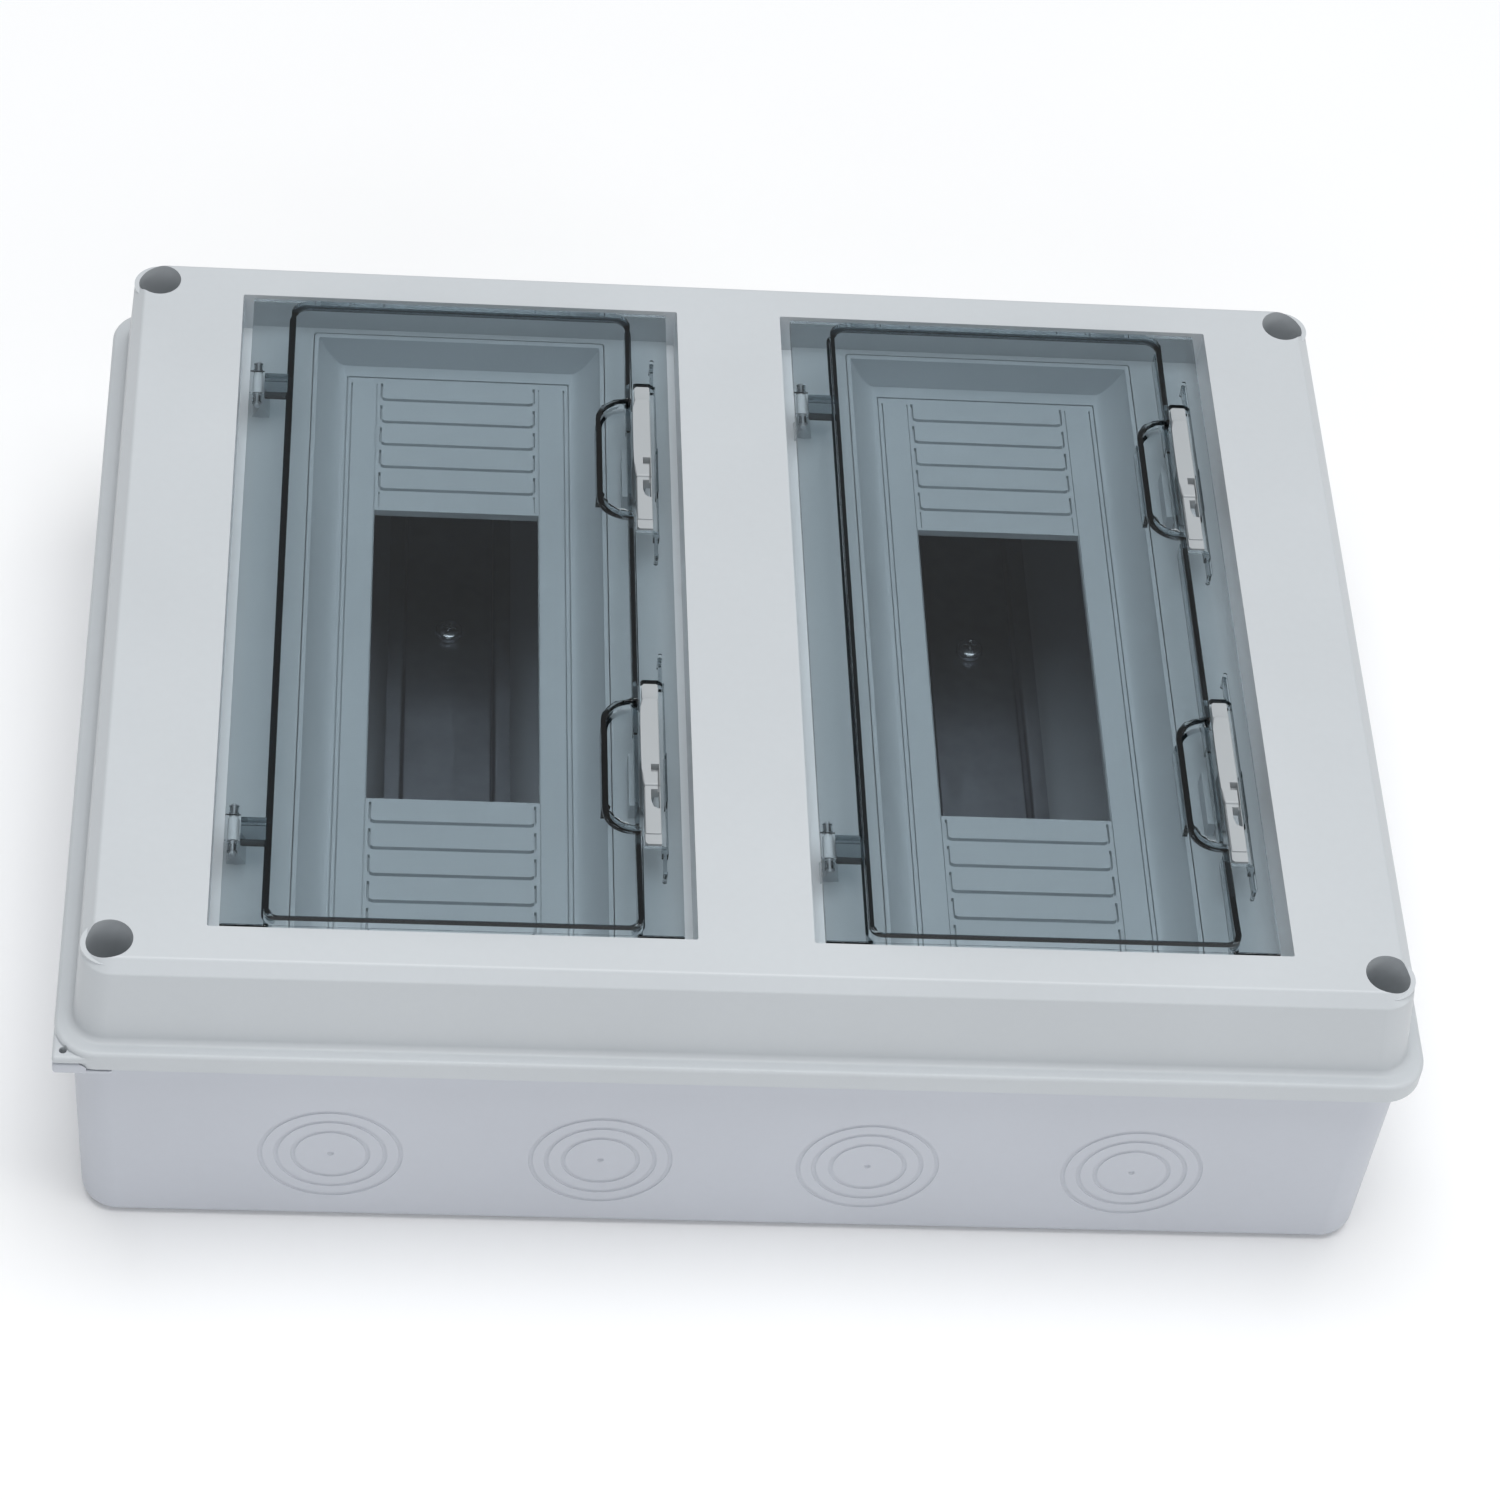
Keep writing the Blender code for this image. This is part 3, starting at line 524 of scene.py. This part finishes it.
for z in (84.0, 92.0, 98.0):
    levels.append((*cover_half(z), z, 8.5))
wall = cover_half(98.7)
for i in range(5):  # eased lower edge of the chamfer
    t = i / 4
    levels.append((wall[0] - 0.45 * t * t, wall[1] - 0.45 * t * t, 98.35 + 0.75 * t, 8.5 - 0.3 * t))
top_inset = 3.3
for i in range(5):  # eased upper edge of the chamfer
    t = i / 4
    inset = top_inset - 0.55 + 0.9 * t
    z = 101.6 + 0.4 * (1 - (1 - t) ** 2)
    levels.append((wall[0] - inset, wall[1] - inset, z, 8.2 - inset * 0.75))
cover = to_object(stack(levels, 14), "enclosure_cover", COVER_ABS)
join(cover, eased_box((-175.0, -135.0, 70.5), (-160.0, -120.0, 73.0), 0.9, 3))
cut(cover, stack([(171.4, 131.4, 60.0, 9.4), (171.4, 131.4, 73.2, 9.4)], 10))
inner = [(*cover_half(z, 2.5), z, 6.0) for z in (62.0, 98.6)] + \
        [(*cover_half(99.5, 3.4), 99.5, 5.1)]
cut(cover, stack(inner, 10))
for side, sx in SIDES:
    cx = sx * 76.0
    join(cover, box((cx - 63.5, -116.7, 86.8), (cx + 63.5, 116.7, 100.4)))
for sx in (-1, 1):
    for sy in (-1, 1):
        x, y = sx * 161.0, sy * 119.3
        join(cover, rod((x, y, 59.0), (x, y, 100.3), 7.2, 40))
for side, sx in SIDES:
    cx = sx * 76.0
    cut(cover, stack([(61.3, 114.5, 89.0, 0.5), (61.3, 114.5, 115.0, 0.5)], 3, (cx, 0)),
        stack([(41.3, 112.7, 70.0, 1.0), (41.3, 112.7, 95.0, 1.0)], 3, (cx, 0)))
    for y in (81.0, -81.0):
        hinge_x = cx - 56.1
        stem = [(hinge_x + 0.7, 87.6), (hinge_x + 1.6, 87.6), (hinge_x + 1.6, 98.2),
                (hinge_x + 1.25, 98.6), (hinge_x + 0.7, 98.2)]
        join(cover, along_y(stem, y - 3.6, y + 3.6),
             along_y(arc(hinge_x, 98.2, 1.42, 0, 350, 23), y - 3.8, y + 3.8),
             along_y([(hinge_x - 1.3, 87.7), (hinge_x + 3.4, 87.7), (hinge_x + 3.4, 89.3),
                      (hinge_x + 1.6, 92.6), (hinge_x + 0.7, 92.6), (hinge_x - 1.3, 89.3)],
                     y - 3.4, y + 3.4))
        cut(cover, rod((cx - 56.1, y - 10, 98.2), (cx - 56.1, y + 10, 98.2), 1.05, 20))
    for y in (56.0, -56.0):
        section = [(cx + 45.2, 87.6), (cx + 47.4, 87.6), (cx + 47.4, 92.6), (cx + 48.0, 93.0),
                   (cx + 48.0, 93.5), (cx + 46.9, 94.0), (cx + 45.2, 94.0)]
        join(cover, along_y(section, y - 9.0, y + 9.0))
wells = []
for sx in (-1, 1):
    for sy in (-1, 1):
        x, y = sx * 161.0, sy * 119.3
        wells.append(turned([(0, 50), (2.4, 50), (2.4, 62), (5.55, 62), (5.9, 62.4), (5.9, 115),
                             (0, 115)], 56, (x, y, 0)))
cut(cover, merge(*wells))
cut(cover, rod((-172.3, -132.4, 60.0), (-172.3, -132.4, 80.0), 1.0, 20))
settle(cover)


def window_rim(a, b, e):
    for sx in (-1, 1):
        for v in (a, b):
            if not (abs(v.z - 102.0) < 0.02 and abs(v.x - sx * 76) < 61.5 and abs(v.y) < 114.7):
                break
        else:
            return abs(a.z - b.z) < 0.01
    return False


def well_rim(a, b, e):
    for sx in (-1, 1):
        for sy in (-1, 1):
            c = Vector((sx * 161.0, sy * 119.3))
            if all(v.z > 97 and abs((v.xy - c).length - 5.9) < 0.06 for v in (a, b)):
                lift = max(f.normal.z for f in e.link_faces)
                return lift > 0.3
    return False


ease(cover, lambda a, b, e: window_rim(a, b, e) or well_rim(a, b, e), 0.32, 3)
shade(cover)
place(cover, "cover", "cover_shell")

# ==========================================================================
# module masks
# ==========================================================================
for side, sx in SIDES:
    cx = sx * 76.0
    mask = to_object(stack([(36.7, 110.9, 77.2, 1.2), (37.0, 111.2, 77.6, 1.2),
                            (40.7, 112.2, 88.5, 0.8), (41.0, 112.4, 88.7, 0.8),
                            (41.0, 112.4, 88.95, 0.8)], 4, (cx, 0)),
                     f"mask_{side}", MASK_ABS)
    join(mask, stack([(44.0, 115.4, 84.2, 1.0), (44.0, 115.4, 86.5, 1.0)], 3, (cx, 0)))
    tray = []
    for i in range(11):  # side walls rise in a hollow curve, end walls are flat
        u = i / 10
        rise = u ** 1.6
        tray.append((32.4 + 7.4 * u, 109.6 + 1.2 * rise, 79.4 + 9.1 * rise, 0.4))
    tray.append((40.6, 111.8, 95.0, 0.4))
    cut(mask, stack(tray, 2, (cx, 0)),
        box((cx - 22.7, -52.6, 70.0), (cx + 22.7, 52.6, 90.0)))
    grooves = []

    def line_y(x, y0, y1, half=0.28, depth=1.0):
        shape = prism([(cx + x - half, y0), (cx + x + half, y0), (cx + x + half, y1),
                       (cx + x - half, y1)], 79.4 - depth, 84.0)
        for v in shape.verts:
            if v.co.z < 79.39:
                v.co.x = cx + x + (v.co.x - cx - x) * 0.6
        return shape

    def strip_gap(y, y_next):
        """The groove round one break-off strip: a straight near edge with turned-up ends."""
        path = [(-21.6, y_next - 2.3), (-21.6, y + 1.4)] + \
            [(-20.2 + 1.4 * math.cos(math.radians(t)), y + 1.4 + 1.4 * math.sin(math.radians(t)))
             for t in (202, 225, 248, 270)]
        path += [(-x, v) for x, v in reversed(path)]
        half, depth = 0.55, 1.3
        shape = bmesh.new()
        rows = []
        for k, (x, v) in enumerate(path):
            before, after = path[max(k - 1, 0)], path[min(k + 1, len(path) - 1)]
            d = Vector((after[0] - before[0], after[1] - before[1])).normalized()
            n = Vector((-d.y, d.x))
            h = half if 2 < k < len(path) - 3 else half * 0.6
            rows.append([shape.verts.new((cx + x + n.x * h * w, v + n.y * h * w, z))
                         for w, z in ((-0.4, 79.4 - depth), (0.8, 79.4 - depth), (1.0, 79.4),
                                      (1.0, 81.0), (-1.0, 81.0), (-1.0, 79.4))])
        for p, q in zip(rows, rows[1:]):
            for i in range(6):
                j = (i + 1) % 6
                shape.faces.new((p[i], p[j], q[j], q[i]))
        shape.faces.new(list(reversed(rows[0])))
        shape.faces.new(rows[-1])
        return shape

    cut(mask, merge(line_y(-31.4, -105.4, 105.4), line_y(-30.1, -102.8, 102.8),
                    line_y(30.1, -102.8, 102.8), line_y(31.4, -105.4, 105.4),
                    line_y(-22.95, -102.6, 102.6, 0.2, 0.6), line_y(22.95, -102.6, 102.6, 0.2, 0.6)))
    cut(mask, merge(box((cx - 31.1, 104.85, 78.4), (cx + 31.1, 105.4, 84.1)),
                    box((cx - 31.1, -105.4, 78.4), (cx + 31.1, -104.85, 84.1))))
    for end in (-1, 1):
        lines = [end * (51.8 + k * 8.9) for k in range(7)]
        for k in range(1, 6):
            y = lines[k]
            grooves.append(strip_gap(y, (y + 8.9) if (end > 0 or k > 1) else -51.6))
        if end > 0:
            grooves.append(line_y(-21.6, 53.5, 59.6, 0.22, 0.8))
            grooves.append(line_y(21.6, 53.5, 59.6, 0.22, 0.8))
    cut(mask, merge(*grooves))
    settle(mask)
    ease(mask, lambda a, b, e: abs(a.z - 79.4) < 0.02 and abs(b.z - 79.4) < 0.02
         and (all(abs(abs(v.x - cx) - 22.7) < 0.05 for v in (a, b))
              or all(abs(abs(v.y) - 52.6) < 0.05 for v in (a, b))), 0.25, 2)
    shade(mask)
    place(mask, "cover", f"module_mask_{side}")

# ==========================================================================
# doors
# ==========================================================================
def panel_outline(inset, near_y, far_inset=0.0):
    """The raised panel with its two finger scoops, anticlockwise, from the window's centre."""
    px, far = 47.5 - inset, 109.8 - inset - far_inset
    r = 4.0 - inset * 0.5
    rn = 2.6 - inset * 0.4
    points = arc(-px + rn, near_y + rn, rn, 180, 270, 5)
    points += arc(px - rn, near_y + rn, rn, 270, 360, 5)
    for cy in (-58.5, 53.5):
        half = 21.5 + inset
        deep = 38.8 - inset
        rc = 7.0 + inset * 0.5
        ro = 0.8
        points += arc(px - ro, cy - half - ro, ro, 0, 90, 3)
        points += arc(deep + rc, cy - half + rc, rc, 270, 180, 9)
        points += arc(deep + rc, cy + half - rc, rc, 180, 90, 9)
        points += arc(px - ro, cy + half + ro, ro, 270, 360, 3)
    points += arc(px - r, far - r, r, 0, 90, 7)
    points += arc(-px + r, far - r, r, 90, 180, 7)
    return points


for side, sx in SIDES:
    cx = sx * 76.0
    hinge_x = cx - 56.1
    door = to_object(box((hinge_x - 2.2, -113.5, 99.3), (cx + 58.0, 113.5, 101.5), 0.35, 2),
                     f"smoked_door_{side}", SMOKED)
    raised = prism([(cx + x, y) for x, y in panel_outline(0.0, -113.35)], 99.4, 105.0)
    rim = [e for e in raised.edges if all(abs(v.co.z - 105.0) < 1e-4 for v in e.verts)]
    bmesh.ops.bevel(raised, geom=rim, offset=0.7, segments=4, profile=0.5, affect="EDGES")
    hollow = prism([(cx + x, y) for x, y in panel_outline(1.3, -112.0, 0.6)], 90.0, 102.7)
    rim = [e for e in hollow.edges if all(abs(v.co.z - 102.7) < 1e-4 for v in e.verts)]
    bmesh.ops.bevel(hollow, geom=rim, offset=0.5, segments=3, profile=0.5, affect="EDGES")
    join(door, raised)
    bend = bmesh.new()
    bridge(bend, [[(cx + x, y, z) for x, y in panel_outline(inset, -112.0, far_inset)]
                  for inset, z, far_inset in ((-0.9, 98.9, 0.0), (1.3, 101.8, 0.6))])
    cut(door, hollow, bend)
    # skirts under the walls that run along the box
    skirts = [box((cx - 47.5, -112.0, 95.4), (cx - 46.2, 106.0, 100.0))]
    for y0, y1 in ((-112.0, -81.2), (-43.0, 30.8), (69.0, 106.0)):
        skirts.append(box((cx + 46.2, y0, 95.4), (cx + 47.5, y1, 100.0)))
    for cy in (-58.5, 53.5):
        skirts.append(box((cx + 37.5, cy - 12.5, 95.4), (cx + 38.8, cy + 15.0, 100.0)))
    # a turned-down lip along the near edge of both borders
    skirts.append(box((hinge_x - 1.9, -113.45, 95.6), (cx - 47.6, -112.2, 100.0)))
    skirts.append(box((cx + 47.6, -113.45, 95.6), (cx + 57.7, -112.2, 100.0)))
    join(door, merge(*skirts))
    for y in (81.0, -81.0):
        # hinge barrels beside the cover's eye, and a roof over it
        for y0, y1 in ((y - 7.4, y - 5.0), (y + 5.0, y + 7.4)):
            join(door, box((hinge_x - 1.25, y0, 98.0), (hinge_x + 1.25, y1, 99.6)))
        cut(door, box((hinge_x - 6, y - 4.3, 90.0), (hinge_x + 1.75, y + 4.3, 99.85)),
            rod((hinge_x, y - 9.5, 98.2), (hinge_x, y + 9.5, 98.2), 1.05, 20))
        join(door, box((hinge_x + 1.85, y - 3.7, 96.5), (hinge_x + 9.2, y + 3.7, 99.6), 0.6, 2),
             box((hinge_x + 1.85, y + 3.1, 95.2), (hinge_x + 9.2, y + 3.7, 99.6)))
    for y in (56.0, -56.0):
        join(door, box((cx + 46.3, y - 2.5 - 17.0, 96.2), (cx + 47.3, y - 2.5 + 17.0, 99.4)))
        slot = [(cx + 48.25, y - 27.8), (cx + 54.15, y - 27.8)]
        slot += arc(cx + 53.2, y + 28.3, 0.95, 0, 90, 4)
        slot += arc(cx + 49.2, y + 28.3, 0.95, 90, 180, 4)
        cut(door, prism(slot, 90.0, 110.0))
        # the slit: a shallow groove with a rib under it
        slit = arc(cx + 53.7, y - 36.4, 0.55, 180, 360, 8) + arc(cx + 53.7, y + 38.3, 0.55, 0, 180, 8)
        rib = arc(cx + 53.7, y - 36.2, 0.42, 180, 360, 8) + arc(cx + 53.7, y + 38.1, 0.42, 0, 180, 8)
        join(door, box((cx + 52.9, y - 28.2, 97.1), (cx + 54.6, y + 28.2, 98.6)),
             box((cx + 54.15, y - 28.2, 97.1), (cx + 54.6, y + 28.2, 99.6)),
             box((cx + 52.9, y - 29.4, 97.1), (cx + 54.6, y - 27.8, 99.6)),
             box((cx + 52.9, y + 27.7, 97.1), (cx + 54.6, y + 29.4, 99.6)),
             prism([(px, py) for px, py in rib if py < y] + [(cx + 54.12, y - 29.0), (cx + 53.28, y - 29.0)],
                   96.9, 99.5),
             prism([(cx + 53.28, y + 29.0), (cx + 54.12, y + 29.0)] + [(px, py) for px, py in rib if py > y],
                   96.9, 99.5),
             merge(rod((cx + 53.7, y - 35.6, 95.4), (cx + 53.7, y - 35.6, 99.6), 0.6, 16),
                   rod((cx + 53.7, y + 38.1, 95.4), (cx + 53.7, y + 38.1, 99.6), 0.6, 16),
                   box((cx + 54.15, y - 11.0, 94.6), (cx + 54.8, y + 5.0, 99.6))))
        cut(door, prism(slit, 101.1, 110.0))
    settle(door)
    ease(door, lambda a, b, e: abs(a.z - 101.5) < 0.02 and abs(b.z - 101.5) < 0.02
         and (max(abs(abs(v.y) - 113.5) for v in (a, b)) < 0.05
              or max(abs(v.x - cx - 58.0) for v in (a, b)) < 0.05
              or max(abs(v.x - hinge_x + 2.2) for v in (a, b)) < 0.05), 0.6, 3)
    shade(door, 38.0)
    place(door, f"door_{side}", f"door_{side}")

# ==========================================================================
# latches
# ==========================================================================
for side, sx in SIDES:
    for end, sy in ENDS:
        cx, cy = sx * 76.0, sy * 56.0
        outline = [(52.8, -27.5), (52.8, 27.2), (52.4, 27.5), (49.2, 27.5), (48.6, 26.9),
                   (48.6, -26.9), (49.2, -27.5)]
        latch = to_object(prism([(cx + x, cy + y) for x, y in reversed(outline)], 99.1, 101.9),
                          f"latch_grip_{side}_{end}", LATCH_GREY)
        grip = [(52.77, -8.4), (52.77, 21.8), (48.63, 21.8), (48.2, 20.6), (48.0, 18.0),
                (47.9, 12.0), (47.9, 2.0), (48.0, -3.0), (48.2, -6.6), (48.63, -8.4)]
        body = prism([(cx + x, cy + y) for x, y in grip], 101.75, 103.0)
        rim = [e for e in body.edges if all(abs(v.co.z - 103.0) < 1e-4 for v in e.verts)]
        bmesh.ops.bevel(body, geom=rim, offset=0.5, segments=3, profile=0.5, affect="EDGES")
        join(latch, body,
             eased_box((cx + 48.7, cy - 24.3, 101.6), (cx + 52.7, cy - 8.0, 102.4), 0.2, 2),
             box((cx + 49.4, cy - 8.0, 90.0), (cx + 51.4, cy + 8.0, 100.5)),
             along_y([(cx + 48.4, 91.8), (cx + 48.6, 90.6), (cx + 50.4, 90.0),
                      (cx + 50.4, 91.8)], cy - 7.9, cy + 7.9))
        cut(latch,
            prism([(cx + x, cy + y) for x, y in
                   [(52.5, -9.4), (50.3, -9.4), (50.3, -13.2), (50.9, -15.2), (52.0, -15.9),
                    (52.5, -15.9)]], 90.0, 104.0),
            box((cx + 50.4, cy - 4.0, 100.7), (cx + 52.5, cy - 1.3, 104.0)),
            box((cx + 52.05, cy - 9.5, 101.3), (cx + 52.5, cy - 3.9, 104.0)))
        settle(latch)
        ease(latch, lambda a, b, e: min(a.z, b.z) > 101.7 and max(a.z, b.z) < 102.5
             and abs(a.z - b.z) < 0.01 and max(f.normal.z for f in e.link_faces) > 0.9
             and min(f.normal.z for f in e.link_faces) > -0.1, 0.12, 2)
        shade(latch)
        place(latch, f"latch_{side}_{end}", f"latch_{side}_{end}")

# ==========================================================================
# rails, screws, pins, bars, gasket
# ==========================================================================
for side, sx in SIDES:
    cx = sx * 76.0
    def hat(points):
        return [(cx + x, z) for x, z in points]

    half = [(17.5, 25.0)] + arc(14.1, 24.4, 0.6, 90, 180, 3) + arc(12.2, 19.8, 1.3, 0, -90, 4)
    lower = half + [(-x, z) for x, z in reversed(half)]
    top = [(-17.5, 26.0)] + [(-x, z) for x, z in arc(13.8, 24.7, 1.3, 90, 180, 4)] + \
        [(-x, z) for x, z in arc(11.9, 20.1, 0.6, 0, -90, 3)]
    upper = top + [(-x, z) for x, z in reversed(top)]
    rail = to_object(along_y(hat(lower + upper), -110.0, 110.0), f"rail_{side}", ZINC)
    cut(rail, merge(rod((cx, -62.0, 10.0), (cx, -62.0, 23.0), 2.3, 24),
                    rod((cx, 62.0, 10.0), (cx, 62.0, 23.0), 2.3, 24)))
    settle(rail)
    shade(rail)
    place(rail, "base", f"din_rail_{side}")


def screw_mesh(name, head_r, head_h, shank_r, shank_l, finish, drive):
    """A pan-head screw at the origin, head up, with a cross or a slot in it."""
    dome = [(head_r * math.sin(math.radians(a)) ** 0.72,
             head_h * (0.42 + 0.58 * math.cos(math.radians(a)))) for a in range(10, 91, 10)]
    profile = [(0.0, head_h)] + dome + [(head_r, 0.12), (head_r - 0.12, 0.0), (shank_r, 0.0)]
    z, pitch = -0.8, 0.75
    while z > -shank_l + 1.2:
        profile += [(shank_r, z), (shank_r * 0.84, z - pitch * 0.5), (shank_r, z - pitch)]
        z -= pitch
    profile += [(shank_r * 0.8, -shank_l + 0.5), (shank_r * 0.5, -shank_l), (0.0, -shank_l)]
    clean = [profile[0]]
    for p in profile[1:]:
        if (Vector(p) - Vector(clean[-1])).length > 1e-4:
            clean.append(p)
    made = to_object(turned(clean, 40), name, finish)
    length, width = head_r * 0.62, max(0.45, head_r * 0.11)
    if drive == "cross":
        cutters = []
        for lx, ly in ((length, width), (width, length)):
            shape = prism([(-lx, -ly), (lx, -ly), (lx, ly), (-lx, ly)], head_h * 0.35,
                          head_h + 1.0)
            for v in shape.verts:
                if v.co.z < head_h * 0.5:
                    v.co.x *= 0.55
                    v.co.y *= 0.55
            cutters.append(shape)
        cut(made, *cutters)
    else:
        cut(made, box((-head_r * 1.2, -width, head_h * 0.45), (head_r * 1.2, width, head_h + 1)))
    settle(made)
    ease(made, lambda a, b, e: min(a.z, b.z) > head_h * 0.5, 0.06, 1, 40)
    made.data.shade_smooth()
    made.data.set_sharp_from_angle(angle=math.radians(35))
    data = made.data
    bpy.data.objects.remove(made, do_unlink=True)
    return data


def put_screw(data, name, point, turn, body, *nodes):
    made = bpy.data.objects.new(name, data)
    bpy.context.scene.collection.objects.link(made)
    made.location = Vector(point) * MM
    made.rotation_euler = (0, 0, math.radians(turn))
    place(made, body, *nodes)


rail_screw = screw_mesh("rail_screw_mesh", 3.9, 2.6, 1.7, 10.0, STEEL, "cross")
terminal_screw = screw_mesh("terminal_screw_mesh", 2.7, 1.8, 1.7, 3.4, STEEL, "slot")
holder_screw = screw_mesh("holder_screw_mesh", 3.1, 2.0, 1.4, 10.5, STEEL, "cross")
cover_screw = screw_mesh("cover_screw_mesh", 4.9, 3.4, 1.95, 20.0, SCREW_GREY, "cross")
turn = 17.0
for side, sx in SIDES:
    for end, sy in ENDS:
        turn = (turn + 53.0) % 90
        put_screw(rail_screw, f"rail_fixing_{side}_{end}", (sx * 76.0, sy * 62.0, 19.8), turn,
                  "base", f"rail_screw_{side}_{end}")
        put_screw(cover_screw, f"cover_fixing_{side}_{end}", (sx * 161.0, sy * 119.3, 62.3), turn,
                  f"cover_screw_{side}_{end}", f"cover_screw_{side}_{end}")
        pin = to_object(turned([(0, 0), (0.7, 0), (0.95, 0.25), (0.95, 16.75), (0.7, 17), (0, 17)],
                               24, (sx * 76.0 - 56.1, sy * 81.0 - 8.5, 98.2), (0, 1, 0)),
                        f"pin_{side}_{end}", PIN_STEEL)
        shade(pin)
        place(pin, "cover", f"hinge_pin_{side}_{end}")
for name, y, tint in (("neutral", 56.0, BLUE), ("earth", -56.0, GREEN)):
    holder = to_object(box((-6.0, y - 40.0, 8.3), (6.0, y + 40.0, 15.7), 1.5, 6),
                       f"{name}_carrier", tint)
    cut(holder, box((-20, y - 28.0, 6.0), (20, y + 28.0, 11.0)),
        merge(*[rod((0, y + d, 0), (0, y + d, 30), 1.9, 24) for d in (-34.0, 34.0)]))
    settle(holder)
    ease(holder, lambda a, b, e: abs(a.z - 15.7) < 0.01 and abs(b.z - 15.7) < 0.01, 0.35, 2)
    shade(holder)
    place(holder, "base", f"{name}_bar_holder")
    bar = to_object(eased_box((-4.0, y - 29.0, 16.0), (4.0, y + 29.0, 24.0), 0.35, 2),
                    f"{name}_terminals", BRASS)
    drills = []
    for k in range(6):
        ty = y + (k - 2.5) * 9.2
        cut(bar, rod((-10, ty, 19.0), (10, ty, 19.0), 2.3, 28))
        drills.append(rod((0, ty, 18.0), (0, ty, 30.0), 2.1, 24))
        put_screw(terminal_screw, f"{name}_clamp_{k + 1}", (0, ty, 24.3), 20 + 47 * k, "base",
                  f"{name}_terminal_screw_{k + 1}")
    cut(bar, merge(*drills))
    settle(bar)
    shade(bar)
    place(bar, "base", f"{name}_bar")
    for k, d in enumerate((-34.0, 34.0)):
        put_screw(holder_screw, f"{name}_carrier_fixing_{k + 1}", (0, y + d, 16.0), 30 + 40 * k,
                  "base", f"{name}_holder_screw_{k + 1}")
gasket = bmesh.new()
seal = []
for dx, z in ((-1.15, 71.6), (-1.05, 71.5), (1.05, 71.5), (1.15, 71.6), (1.15, 72.6), (0.75, 72.85),
              (0.0, 72.9), (-0.75, 72.85), (-1.15, 72.6)):
    seal.append([(x, y, z) for x, y in loop_points(169.85 + dx, 129.85 + dx, 8.3 + dx, 8)])
bridge(gasket, seal, closed=True)
gasket = to_object(gasket, "rim_seal", RUBBER)
shade(gasket)
place(gasket, "cover", "sealing_gasket")

# ==========================================================================
# floor, light, camera
# ==========================================================================
floor_shape = bmesh.new()
bmesh.ops.create_grid(floor_shape, x_segments=8, y_segments=8, size=6000.0)
floor_finish, tree, shader = new_material("studio_paper")
paper = node(tree, "ShaderNodeTexNoise", Scale=6.0, Detail=3.0)
tree.links.new(object_coords(tree), paper.inputs["Vector"])
tree.links.new(ramp(tree, paper.outputs["Fac"], 0.3, 0.7, (0.965, 0.965, 0.968), (0.98, 0.98, 0.98)),
               shader.inputs["Base Color"])
shader.inputs["Roughness"].default_value = 0.9
shader.inputs["Specular IOR Level"].default_value = 0.1
floor = to_object(floor_shape, "studio_floor", floor_finish)
floor.location = (0, 0, -0.0002)

scene = bpy.context.scene
world = bpy.data.worlds.new("studio")
scene.world = world
world.use_nodes = True
world.node_tree.nodes["Background"].inputs["Color"].default_value = (0.97, 0.985, 1.0, 1)
world.node_tree.nodes["Background"].inputs["Strength"].default_value = 0.29


def area_light(name, at, aim, size, power, colour=(1, 1, 1)):
    lamp = bpy.data.lights.new(name, "AREA")
    lamp.shape = "RECTANGLE"
    lamp.size, lamp.size_y = size
    lamp.energy = power
    lamp.color = colour
    made = bpy.data.objects.new(name, lamp)
    bpy.context.scene.collection.objects.link(made)
    made.location = at
    direction = Vector(aim) - Vector(at)
    made.rotation_euler = direction.to_track_quat("-Z", "Y").to_euler()
    return made


area_light("overhead", (0.05, 0.0, 2.3), (0, 0, 0.08), (1.8, 1.8), 44.0, (0.985, 0.993, 1.0))
area_light("front", (-0.5, -2.6, 1.35), (0, 0, 0.05), (2.4, 1.2), 13.0, (0.94, 0.96, 1.0))
area_light("right", (2.3, -1.0, 0.8), (0, 0, 0.05), (1.0, 1.0), 9.0, (1.0, 0.995, 0.985))

camera = bpy.data.cameras.new("view")
camera.lens = 106.786
camera.sensor_width = 36.0
camera.shift_x = -0.0021
camera.shift_y = 0.00057
camera.clip_start, camera.clip_end = 0.05, 30.0
eye = bpy.data.objects.new("view", camera)
scene.collection.objects.link(eye)
azimuth, elevation, roll = (math.radians(v) for v in (-7.769, 48.386, 7.675))
back = Vector((math.sin(azimuth) * math.cos(elevation), -math.cos(azimuth) * math.cos(elevation),
               math.sin(elevation)))
forward = -back
right = forward.cross(Vector((0, 0, 1))).normalized()
up = right.cross(forward)
across = math.cos(roll) * right + math.sin(roll) * up
upward = -math.sin(roll) * right + math.cos(roll) * up
rotation = Matrix((across, upward, back)).transposed().to_4x4()
eye.matrix_world = Matrix.Translation(Vector((-0.10280, -0.81393, 0.96900))) @ rotation
scene.camera = eye
scene.view_settings.view_transform = "Standard"
